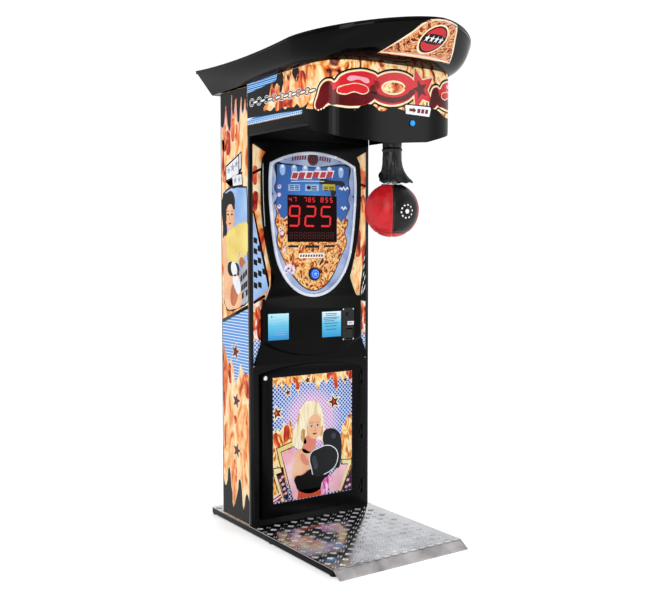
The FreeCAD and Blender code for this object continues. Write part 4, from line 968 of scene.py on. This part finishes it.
bar_blue = mesh_print("glowing_bar_blue", "A4DAFF", "1660B8", 12, angles=(45, -45))
wrap = (10, int(round_all), 14)
for word, place in (("left", on_fascia), ("right", on_fascia_right)):
    film("fascia_night_" + word, [[(2, 1911), (2, 2104), (300, 2104), (330, 2050), (356, 2080), (392, 2030),
        (430, 2060), (470, 2030), (500, 1990), (560, 1985), (520, 1958), (500, 1930), (470, 1911)]], place,
        ink_black, "fascia_print", smooth=False, bands=wrap)
    film("fascia_tongues_" + word, [[(150, 1962), (190, 1996), (212, 2050), (228, 2070), (236, 2030),
        (256, 2058), (286, 2062), (296, 2020), (318, 2050), (340, 2098), (360, 2050), (380, 2080),
        (400, 2104), (520, 2104), (620, 2060), (580, 1990), (520, 1955), (457, 1937), (430, 1955),
        (400, 1945), (370, 1962), (336, 1944), (300, 1966), (280, 1950), (250, 1964), (209, 1952),
        (180, 1960)]], place, flame_peach, "fascia_print", lift=0.25, bands=wrap)
    film("fascia_tongue_shades_" + word, [[(220, 2000), (232, 2050), (246, 2004)],
        [(340, 2000), (352, 2070), (364, 2010)], [(420, 2010), (470, 2090), (480, 2000)],
        [(250, 1960), (330, 1985), (400, 1960), (330, 1955)]], place, flame_red, "fascia_print", lift=0.5,
        bands=wrap)
    film("fascia_gap_" + word, [[(258, 2104), (272, 2062), (300, 2050), (312, 2104)],
        [(396, 2104), (410, 2062), (428, 2050), (440, 2104)]], place, ink_black, "fascia_print", lift=0.5,
        bands=wrap)
    film("fascia_bars_" + word, [[(4, 2104), (270, 2104), (262, 2078), (120, 2064), (4, 2054)],
        [(4, 1942), (470, 1926), (474, 1912), (4, 1912)]], place, bar_blue, "fascia_print", smooth=False,
        lift=0.6, bands=wrap)
    film("fascia_bar_glow_" + word, [[(u, 1912), (u + 9, 1912), (u + 6, 1922), (u + 3, 1922)]
        for u in range(6, 460, 17)] + [[(4, 1942), (60, 1940), (4, 1928)]], place, ink_white,
        "fascia_print", smooth=False, lift=0.9, thick=0.2)
    links = [(46 + 66 * i, 2008 - 1.4 * i) for i in range(8)]
    film("fascia_links_" + word, [disc((u, v), 23, 19, 8) for u, v in links] + [disc((u, v), 12, 9, 8)
        for u, v in links], place, ink_white, "fascia_print", lift=0.9, bands=wrap)
    film("fascia_links_ink_" + word, [disc((u, v), 20, 16, 8) for u, v in links] + [disc((u, v), 15, 11.5,
        8) for u, v in links], place, ink_black, "fascia_print", lift=1.2, bands=wrap)
    bars = [(u + 33, v - 2) for u, v in links]
    film("fascia_shackles_" + word, [disc((u, v), 25, 8.5, 4) for u, v in bars], place, ink_black,
        "fascia_print", lift=1.3, bands=wrap)
    film("fascia_shackle_light_" + word, [disc((u, v), 20, 4.4, 4) for u, v in bars], place, ink_white,
        "fascia_print", lift=1.6, bands=wrap)


def glove(at, size, lean):
    """A generic boxing glove in profile: cuff at the lower left, fist at the upper right."""
    outline = [(14, 2), (44, 0), (66, 16), (110, 8), (168, 6), (220, 18), (250, 48), (256, 86), (236, 120),
        (190, 136), (130, 134), (84, 116), (66, 92), (46, 100), (20, 92), (10, 50)]
    low = [(66, 18), (110, 10), (168, 8), (220, 20), (248, 50), (250, 66), (190, 56), (120, 62), (72, 66)]
    thumb = [(86, 62), (120, 84), (168, 88), (206, 70), (196, 56), (150, 60), (112, 50)]
    cuff = [(16, 4), (44, 2), (50, 92), (22, 90), (12, 50)]
    return [[(at[0] + size * (u + lean * v), at[1] + size * v) for u, v in part] for part in (outline, low,
        thumb, cuff)]


red_print = finish("fascia_red", "DC2E34", "B41A26", 0.2, 80, 0.02)
deep_print = finish("fascia_deep_red", "6E1018", "2A060A", 0.2, 80, 0.02)
left_glove = glove((548, 1920), 1.08, 0.30)
right_glove = glove((1108, 1950), 0.92, 0.2)
ring_at, burst_at = (922, 2012), (1066, 2022)
ring_out = [(ring_at[0] + 118 * math.cos(a) + 26 * math.sin(a), ring_at[1] + 68 * math.sin(a))
    for a in [math.pi * i / 12 for i in range(24)]]
ring_in = [(ring_at[0] + 62 * math.cos(a) + 12 * math.sin(a), ring_at[1] + 4 + 30 * math.sin(a))
    for a in [math.pi * i / 8 for i in range(16)]]
burst = star(burst_at, 92, 20, 0.46)
stroke("fascia_outlines_dark", [left_glove[0], right_glove[0], ring_out], 30, on_fascia, ink_black,
    closed=True, lift=0.6, bands=wrap)
stroke("fascia_outlines", [left_glove[0], right_glove[0], ring_out, ring_in], 17, on_fascia, ink_cream,
    closed=True, lift=0.9, bands=wrap)
stroke("fascia_burst_edge", [burst], 15, on_fascia, ink_cream, smooth=False, closed=True,
    lift=0.9, bands=wrap)
print_on_head("fascia_gloves", [left_glove[0], right_glove[0]], red_print, lift=1.2)
print_on_head("fascia_glove_shade", [left_glove[1], right_glove[1]], deep_print, lift=1.5)
print_on_head("fascia_glove_cuffs", [left_glove[3], right_glove[3]], deep_print, lift=1.5)
stroke("fascia_glove_thumbs", [left_glove[2], right_glove[2]], 7, on_fascia, ink_cream,
    closed=True, lift=1.6, bands=wrap)
print_on_head("fascia_glove_thumb_fill", [left_glove[2], right_glove[2]], red_print, lift=1.7)
print_on_head("fascia_glove_light", [[(700, 2036), (760, 2046), (800, 2030), (790, 2022), (750, 2034),
    (706, 2028)], [(1236, 2054), (1290, 2060), (1318, 2044), (1308, 2038), (1284, 2050), (1240, 2048)]],
    ink_pink, lift=1.75)
print_on_head("fascia_ring", [ring_out, ring_in], red_print, lift=1.2)
print_on_head("fascia_ring_shade", [[(ring_at[0] + 116 * math.cos(a) + 26 * math.sin(a),
    ring_at[1] + 60 * math.sin(a)) for a in [math.pi + math.pi * i / 10 for i in range(11)]]
    + [(ring_at[0] + 90 * math.cos(a) + 22 * math.sin(a), ring_at[1] + 3 + 40 * math.sin(a))
    for a in [2 * math.pi - math.pi * i / 10 for i in range(11)]]], deep_print, lift=1.5)
print_on_head("fascia_burst", [burst], red_print, smooth=False, lift=1.3)
print_on_head("fascia_burst_heart", [star(burst_at, 44, 20)], deep_print, smooth=False, lift=1.6)
print_on_head("fascia_ring_star", [star((ring_at[0] + 4, ring_at[1] + 4), 20, 10)], flame_red, smooth=False,
    lift=1.2)
print_on_head("fascia_low_edge", [[(470, 1911), (560, 1920), (640, 1924), (700, 1916), (740, 1912),
    (760, 1930), (790, 1940), (826, 1932), (850, 1916), (880, 1918), (910, 1936), (960, 1930), (1010, 1922),
    (1060, 1930), (1130, 1948), (1180, 1940), (1212, 1924), (1250, 1918), (1330, 1911)]], ink_black,
    lift=1.0)
print_on_head("start_label_edge", [[(984, 1910), (1122, 1906), (1134, 1950), (1126, 1957), (984, 1956),
    (978, 1950)]], ink_black, smooth=False, lift=1.7)
print_on_head("start_label", [[(988, 1914), (1118, 1911), (1128, 1948), (1122, 1952), (988, 1951),
    (984, 1948)]], ink_white, smooth=False, lift=2.0)
print_on_head("start_label_arrow", [[(1006, 1938), (1028, 1938), (1028, 1944), (1044, 1932), (1028, 1920),
    (1028, 1926), (1006, 1926)], [(1052, 1940), (1068, 1940), (1064, 1922), (1048, 1922)],
    [(1074, 1940), (1090, 1940), (1086, 1922), (1070, 1922)], [(1096, 1940), (1112, 1940), (1108, 1922),
    (1092, 1922)]], ink_maroon, smooth=False, lift=2.3)

# Roof: one vacuum-formed gloss black canopy whose sides flare out and swell to a pointed nose,
# with a rolled rim and a recessed lid inside it. It is fixed to the steel head frame from inside.
roof_gloss = finish("gloss_black_roof", "060608", "040405", 0.1, 260, 0.02, shine=0.09)
dress(roof_gloss, "roof_lid")
roof_low, roof_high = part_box("roof_canopy")
low_half, rim_half, back = 357.0, roof_high[0] * 1000, roof_high[1] * 1000
nose, low_bow, rim_bow, swell = roof_low[1] * 1000, -130.0, -229.0, 25.0
rim_back, level_run, level_rise, nose_run, nose_rise = 2199.5, 770.0, 0.5, 1293.0, 57.5
roll, roll_high = 3.0, 3.5


def bow(half, depth, power, angle):
    """A point on a rounded bow, from the left end at minus half a turn to the right end at none."""
    c, s = abs(math.cos(angle)), abs(math.sin(angle))
    r = ((c / half) ** power + (s / depth) ** power) ** (-1 / power)
    return r * math.cos(angle), r * math.sin(angle)


def rim_height(y):
    """The rim lies almost level over the cabinet and climbs in one curve to the nose."""
    run = back - y
    bend = (nose_rise / nose_run - level_rise / level_run) / (nose_run - level_run)
    return rim_back + (level_rise / level_run - bend * level_run) * run + bend * run * run


def close_seam(piece):
    """Joins the two edges of a sheet that was rolled into a ring, and turns its faces outwards."""
    only(piece)
    bpy.ops.object.mode_set(mode="EDIT")
    bpy.ops.mesh.select_all(action="SELECT")
    bpy.ops.mesh.remove_doubles(threshold=0.00005)
    bpy.ops.mesh.normals_make_consistent(inside=False)
    bpy.ops.object.mode_set(mode="OBJECT")


turns = [-math.pi + math.pi * i / 72 for i in range(73)]
rail = []
for i, a in enumerate(turns):
    lx, ly = bow(low_half, 284, 4, a)
    ux, uy = bow(rim_half, rim_bow - nose, 1.63, a)
    rail.append(((lx, low_bow + ly), (ux, rim_bow + uy), swell))
for k in range(1, 13):
    f = k / 12
    rail.append(((low_half, low_bow + (back - low_bow) * f), (rim_half, rim_bow + (back - rim_bow) * f),
        swell * (1 - f)))
for k in range(1, 13):
    f = 1 - k / 6
    rail.append(((low_half * f, back), (rim_half * f, back), 0.0))
for k in range(1, 12):
    f = 1 - k / 12
    rail.append(((-low_half, low_bow + (back - low_bow) * f), (-rim_half, rim_bow + (back - rim_bow) * f),
        swell * (1 - f)))
steps = 15
bpy.ops.mesh.primitive_grid_add(x_subdivisions=len(rail), y_subdivisions=steps - 1, size=1)
roof = bpy.context.object
roof.name = "roof_canopy_moulding"
across = len(rail) + 1
for row in range(steps):
    for column in range(across):
        (lx, ly), (ux, uy), puff = rail[column % len(rail)]
        low = Vector((lx, ly, eave(ly)))
        rim = Vector((ux, uy, rim_height(uy)))
        run = rim - low
        out = Vector((run.x, run.y, 0)).normalized()
        flat = Vector((run.x, run.y, 0)).length
        away = (out * run.z - Vector((0, 0, flat))).normalized()
        if row <= 10:
            t = row / 10 * 0.985
            spot = low + run * t + away * (4 * puff * t * (1 - t))
        else:
            angle = math.pi * (row - 10) / 4
            inward = out * (roll * (math.cos(angle) - 1))
            spot = rim - run.normalized() * roll_high + inward + Vector((0, 0, roll_high * math.sin(angle)))
            if row == 14:
                spot = rim - out * 7 - Vector((0, 0, 15))
        roof.data.vertices[row * across + column].co = spot / 1000
close_seam(roof)
give_wall(roof, 0.003)
bpy.ops.object.shade_smooth_by_angle(angle=math.radians(50))
fit(roof, roof_gloss)
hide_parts("roof_canopy")
bpy.ops.mesh.primitive_grid_add(x_subdivisions=20, y_subdivisions=30, size=1)
soffit = bpy.context.object
soffit.name = "roof_soffit"
for vertex in soffit.data.vertices:
    u, v = vertex.co.x * 2, vertex.co.y + 0.5
    y = 610 - v * 990
    half = 353.0 if y > low_bow else 353.0 * max(1 - ((low_bow - y) / 281.0) ** 4, 0.0) ** 0.25
    vertex.co = Vector((u * half, y, eave(y) + 1.5)) / 1000
give_wall(soffit, 0.002)
fit(soffit, roof_gloss)

# Roof badge: a bell-shaped printed sheet on the nose, a little to the right of the middle, with a
# cream edge round brown fire and a red oval with stars.
badge_x = 22.0


def on_badge(u, v, w):
    """The nose of the roof as seen from straight in front."""
    hit, at, away = roof.ray_cast(Vector((u / 1000, -1.0, v / 1000)), Vector((0, 1, 0)))[:3]
    if not hit:
        at, away = roof.closest_point_on_mesh(Vector((u / 1000, -0.6, v / 1000)))[1:3]
    return at * 1000 + away * w


def print_on_badge(name, shapes, material, **cut):
    return film(name, shapes, on_badge, material, "badge_print", bands=patchwork, **cut)


patchwork = (-180, 226, 9, 2132, 2256, 8)
bell = [(badge_x - 196, 2133), (badge_x - 90, 2133), (badge_x, 2133), (badge_x + 90, 2133),
    (badge_x + 196, 2133), (badge_x + 156, 2170), (badge_x + 122, 2203), (badge_x + 98, 2233),
    (badge_x + 76, 2246), (badge_x + 38, 2251), (badge_x, 2253), (badge_x - 38, 2251), (badge_x - 76, 2246),
    (badge_x - 98, 2233), (badge_x - 122, 2203), (badge_x - 156, 2170)]
sheet = print_on_badge("badge_sheet", [bell], fire("badge_fire", [(0.34, "2A0C06"), (0.42, "7C2C14"),
    (0.50, "CC7434"), (0.57, "F0C08C"), (0.66, "B0562C"), (0.76, "4A160A")], 30, stretch=(1, 1, 0.7),
    twist=2.4), smooth=False, thick=0.5, lift=0.1)
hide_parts("roof_badge")
stroke("badge_edge", [[(badge_x + (u - badge_x) * 0.965, 2190 + (v - 2190) * 0.93) for u, v in bell]], 7,
    on_badge, ink_cream, smooth=False, closed=True, lift=0.7, bands=patchwork)
stroke("badge_edge_pink", [[(badge_x + (u - badge_x) * 0.92, 2190 + (v - 2190) * 0.84) for u, v in bell]],
    3, on_badge, ink_pink, smooth=False, closed=True, lift=0.7, bands=patchwork)
print_on_badge("badge_ring_outer", [disc((20, 2190), 68, 46, 0, 20)], ink_cream, lift=1.0)
print_on_badge("badge_ring_dark", [disc((20, 2190), 61, 41, 0, 20)], ink_black, lift=1.3)
print_on_badge("badge_red", [disc((20, 2190), 55, 36, 0, 20)], red_print, lift=1.6)
print_on_badge("badge_band", [[(-36, 2200), (0, 2205), (40, 2205), (76, 2200), (76, 2180), (40, 2175),
    (0, 2175), (-36, 2180)]], ink_black, smooth=False, lift=1.9)
print_on_badge("badge_stars", [star((u, 2190), 12) for u in (-18, 7, 32, 57)], ink_white, smooth=False,
    lift=2.2)

# Sleeve: a padded black leather tube sewn round the arm, nipped by a band below the head and
# flaring to a ragged skirt over the ball. It is creased along its length where it has been pulled.
sleeve_leather = finish("creased_black_leather", "17171B", "0A0A0C", 0.3, 620, 0.25, stretch=(1, 1, 0.5),
    shine=0.3)
axis = Vector((0.0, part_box("ball")[0][1] / 2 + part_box("ball")[1][1] / 2))
profile = [(36.0, 1872), (41.0, 1868), (41.5, 1830), (41.0, 1800), (40.0, 1774), (43.0, 1769), (45.0, 1766),
    (43.0, 1762), (40.0, 1758), (40.5, 1735), (42.0, 1700), (45.0, 1680), (49.0, 1662), (54.0, 1648),
    (59.0, 1638), (62.0, 1630)]
around, down = 120, 76
bpy.ops.mesh.primitive_grid_add(x_subdivisions=around, y_subdivisions=down, size=1)
sleeve = bpy.context.object
sleeve.name = "sleeve_leather_tube"
lengths = [0.0]
for one, two in zip(profile[:-1], profile[1:]):
    lengths.append(lengths[-1] + math.dist(one, two))
for row in range(down + 1):
    s = lengths[-1] * row / down
    i = 1
    while lengths[i] < s - 1e-9 and i < len(profile) - 1:
        i += 1
    f = (s - lengths[i - 1]) / (lengths[i] - lengths[i - 1])
    r = profile[i - 1][0] + f * (profile[i][0] - profile[i - 1][0])
    z = profile[i - 1][1] + f * (profile[i][1] - profile[i - 1][1])
    for column in range(around + 1):
        a = 2 * math.pi * (column % around) / around
        out = Vector((math.cos(a), math.sin(a)))
        loose = min(max((1750 - z) / 110, 0.0), 1.0)
        fold = 2.6 * loose * math.sin(7 * a + 0.02 * z + 1.5 * math.sin(3 * a)) * (0.5 + 0.5 * loose)
        fold += 1.8 * noise.noise(Vector((out.x * 3.2, out.y * 3.2, z * 0.012)))
        fold += 1.1 * noise.noise(Vector((out.x * 7.0, out.y * 7.0, z * 0.045 + 7)))
        near_band = math.exp(-((z - 1766) / 16) ** 2)
        fold -= 1.4 * near_band * abs(math.sin(9 * a + 0.5))
        corner = max(math.cos(a - math.atan2(-0.616, 0.787)), 0.0) ** 10
        behind = max(math.cos(a - math.atan2(0.616, -0.787)), 0.0) ** 10
        tatter = 2.5 * noise.noise(Vector((out.x * 9, out.y * 9, 3.0))) + 1.5 * math.sin(11 * a)
        wide = r + fold * (1 - near_band * 0.3) + loose ** 3 * (26 * corner - 6 * behind)
        low = z + loose ** 3 * (tatter + 30 * behind - 3 * corner)
        spot = Vector((axis.x * 1000 + out.x * wide, axis.y * 1000 + out.y * wide, low))
        sleeve.data.vertices[row * (around + 1) + column].co = spot / 1000
close_seam(sleeve)
give_wall(sleeve, 0.002)
bpy.ops.object.shade_smooth()
fit(sleeve, sleeve_leather, "arm")
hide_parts("arm_sleeve")

# Ball: four sewn leather panels, black at the front and back and red at the sides, with a red
# cap underneath, stuffed hard. The panels swell a little between the pulled-in seams.
ball_low, ball_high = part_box("ball")
heart = Vector([(p + q) / 2 for p, q in zip(ball_low, ball_high)])
radius = (ball_high[0] - ball_low[0]) / 2
seams, cap_line = (math.radians(35), math.radians(145)), 0.83
bpy.ops.mesh.primitive_uv_sphere_add(segments=128, ring_count=72, radius=1.0, location=(0, 0, 0))
ball = bpy.context.object
ball.name = "ball_leather_panels"
for vertex in ball.data.vertices:
    away = vertex.co.normalized()
    bearing = abs(math.atan2(away.x, -away.y))
    level = math.hypot(away.x, away.y)
    gap = min(abs(bearing - seams[0]), abs(bearing - seams[1])) * level * radius
    gap = min(gap, abs(away.z + cap_line) * radius / max(level, 0.3))
    pull = 0.0022 * math.exp(-(gap / 0.006) ** 2)
    worn = 0.0008 * noise.noise(away * 4)
    vertex.co = heart + away * (radius - 0.0003 - pull + worn - 0.0008)
only(ball)
bpy.ops.object.shade_smooth()
ball_leather = bpy.data.materials.new("panelled_ball_leather")
ball_leather.use_nodes = True
tree = ball_leather.node_tree
shader = tree.nodes["Principled BSDF"]
spot = tree.nodes.new("ShaderNodeTexCoord")
moved = tree.nodes.new("ShaderNodeMapping")
moved.inputs["Location"].default_value = -heart
tree.links.new(spot.outputs["Object"], moved.inputs["Vector"])
axes = tree.nodes.new("ShaderNodeSeparateXYZ")
tree.links.new(moved.outputs["Vector"], axes.inputs["Vector"])


def sum_of(kind, one, two=0.0):
    """A sum worked out in the material: each of its two values is a number or an output."""
    made = tree.nodes.new("ShaderNodeMath")
    made.operation = kind
    for index, value in enumerate((one, two)):
        if isinstance(value, float):
            made.inputs[index].default_value = value
        else:
            tree.links.new(value, made.inputs[index])
    return made.outputs[0]


flip = sum_of("MULTIPLY", axes.outputs["Y"], -1.0)
bearing = sum_of("ABSOLUTE", sum_of("ARCTAN2", axes.outputs["X"], flip))
side = sum_of("MULTIPLY", sum_of("GREATER_THAN", bearing, seams[0]), sum_of("LESS_THAN", bearing, seams[1]))
cap = sum_of("LESS_THAN", axes.outputs["Z"], -cap_line * radius)
red = sum_of("MAXIMUM", side, cap)
level = sum_of("SQRT", sum_of("SUBTRACT", radius * radius, sum_of("MULTIPLY", axes.outputs["Z"],
    axes.outputs["Z"])))
gaps = sum_of("MINIMUM", sum_of("ABSOLUTE", sum_of("SUBTRACT", bearing, seams[0])),
    sum_of("ABSOLUTE", sum_of("SUBTRACT", bearing, seams[1])))
side_gap = sum_of("MAXIMUM", sum_of("MULTIPLY", gaps, level), sum_of("MULTIPLY", cap, 1.0))
cap_gap = sum_of("MULTIPLY", sum_of("ABSOLUTE", sum_of("ADD", axes.outputs["Z"], cap_line * radius)), 1.7)
gap = sum_of("MINIMUM", side_gap, cap_gap)
seam = sum_of("LESS_THAN", gap, 0.0012)
thread = sum_of("MULTIPLY", sum_of("GREATER_THAN", gap, 0.0030), sum_of("LESS_THAN", gap, 0.0040))
dash = sum_of("GREATER_THAN", sum_of("SINE", sum_of("MULTIPLY", sum_of("ADD", axes.outputs["Z"], bearing),
    900.0)), 0.0)
thread = sum_of("MULTIPLY", thread, dash)
facing = Vector((-0.067, -0.994, -0.07)).normalized()
sides_x = sum_of("SUBTRACT", axes.outputs["X"], facing.x * radius)
sides_z = sum_of("SUBTRACT", axes.outputs["Z"], facing.z * radius)
apart = sum_of("SQRT", sum_of("ADD", sum_of("MULTIPLY", sides_x, sides_x), sum_of("MULTIPLY", sides_z,
    sides_z)))
front = sum_of("LESS_THAN", axes.outputs["Y"], 0.0)
swing = sum_of("SINE", sum_of("MULTIPLY", sum_of("ARCTAN2", sides_z, sides_x), 10.0))
ring = sum_of("MULTIPLY", sum_of("LESS_THAN", sum_of("ABSOLUTE", sum_of("SUBTRACT", apart, 0.027)), 0.0030),
    sum_of("GREATER_THAN", swing, 0.1))
emblem = sum_of("MULTIPLY", sum_of("MAXIMUM", ring, sum_of("LESS_THAN", apart, 0.0095)), front)
patch = tree.nodes.new("ShaderNodeTexNoise")
patch.inputs["Scale"].default_value = 30.0
patch.inputs["Detail"].default_value = 5.0
tree.links.new(moved.outputs["Vector"], patch.inputs["Vector"])
black_hide = ramp(tree, patch.outputs["Fac"], ((0.3, "0A0A0C"), (0.7, "1A1A1E")))
red_hide = ramp(tree, patch.outputs["Fac"], ((0.3, "A81820"), (0.7, "C8242A")))


def over(mask, under, above):
    blend = tree.nodes.new("ShaderNodeMix")
    blend.data_type = "RGBA"
    tree.links.new(mask, blend.inputs[0])
    tree.links.new(under, blend.inputs[6])
    if isinstance(above, str):
        blend.inputs[7].default_value = hue(above)
    else:
        tree.links.new(above, blend.inputs[7])
    return blend.outputs[2]


colour = over(red, black_hide, red_hide)
colour = over(thread, colour, "6A6A6A")
colour = over(seam, colour, "050506")
colour = over(emblem, colour, "E8E8EA")
tree.links.new(colour, shader.inputs["Base Color"])
pores = tree.nodes.new("ShaderNodeTexVoronoi")
pores.inputs["Scale"].default_value = 420.0
tree.links.new(moved.outputs["Vector"], pores.inputs["Vector"])
gloss = tree.nodes.new("ShaderNodeMapRange")
gloss.inputs["To Min"].default_value = 0.24
gloss.inputs["To Max"].default_value = 0.42
tree.links.new(patch.outputs["Fac"], gloss.inputs["Value"])
tree.links.new(gloss.outputs["Result"], shader.inputs["Roughness"])
shader.inputs["Specular IOR Level"].default_value = 0.25
height = sum_of("ADD", sum_of("MULTIPLY", pores.outputs["Distance"], 0.12), sum_of("MULTIPLY", seam, -1.0))
height = sum_of("ADD", height, sum_of("MULTIPLY", thread, 0.5))
relief = tree.nodes.new("ShaderNodeBump")
relief.inputs["Strength"].default_value = 0.5
relief.inputs["Distance"].default_value = 0.001
tree.links.new(height, relief.inputs["Height"])
tree.links.new(relief.outputs["Normal"], shader.inputs["Normal"])
fit(ball, ball_leather, "arm")
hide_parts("ball")

# The studio: a white floor, a surround that is brighter behind the machine than in front, two
# large soft boxes, and the camera at chest height, a little over four metres from the machine.
scene.view_settings.view_transform = "Standard"
scene.view_settings.look = "None"
camera = bpy.data.objects.new("camera", bpy.data.cameras.new("camera"))
scene.collection.objects.link(camera)
camera.location = (-2.4281, -3.4524, 1.3750)
camera.rotation_euler = Euler([math.radians(a) for a in (86.452, 0.0, -34.454)])
camera.data.sensor_width = 36.0
camera.data.lens = 49.38
scene.camera = camera

world = bpy.data.worlds.new("studio")
world.use_nodes = True
sky = world.node_tree
sky.nodes["Background"].inputs["Color"].default_value = (1.0, 1.0, 1.0, 1)
look = sky.nodes.new("ShaderNodeTexCoord")
toward = sky.nodes.new("ShaderNodeVectorMath")
toward.operation = "DOT_PRODUCT"
toward.inputs[1].default_value = (0.56, 0.82, 0.0)
sky.links.new(look.outputs["Generated"], toward.inputs[0])
fall = sky.nodes.new("ShaderNodeMapRange")
fall.inputs["From Min"].default_value = -0.3
fall.inputs["From Max"].default_value = 0.6
fall.inputs["To Min"].default_value = 0.6
fall.inputs["To Max"].default_value = 1.05
sky.links.new(toward.outputs["Value"], fall.inputs["Value"])
sky.links.new(fall.outputs["Result"], sky.nodes["Background"].inputs["Strength"])
scene.world = world


def soft_box(name, place, aim, width, height, watts):
    light = bpy.data.objects.new(name, bpy.data.lights.new(name, "AREA"))
    light.data.shape = "RECTANGLE"
    light.data.size, light.data.size_y = width, height
    light.data.energy = watts
    light.location = place
    light.rotation_euler = (Vector(aim) - Vector(place)).to_track_quat("-Z", "Y").to_euler()
    scene.collection.objects.link(light)


soft_box("key", (-3.2, -2.4, 2.6), (0, 0, 1.1), 1.6, 2.6, 60)
soft_box("fill", (2.6, -3.6, 2.2), (0, 0, 1.1), 1.4, 2.4, 30)

bpy.ops.mesh.primitive_plane_add(size=24.0, location=(0, 0, 0))
floor = bpy.context.object
floor.name = "studio_floor"
pale = bpy.data.materials.new("pale_floor")
pale.use_nodes = True
pale.node_tree.nodes["Principled BSDF"].inputs["Base Color"].default_value = (1.0, 1.0, 1.0, 1)
pale.node_tree.nodes["Principled BSDF"].inputs["Roughness"].default_value = 0.6
pale.node_tree.nodes["Principled BSDF"].inputs["Emission Color"].default_value = (1.0, 1.0, 1.0, 1)
pale.node_tree.nodes["Principled BSDF"].inputs["Emission Strength"].default_value = 0.3
floor.data.materials.append(pale)
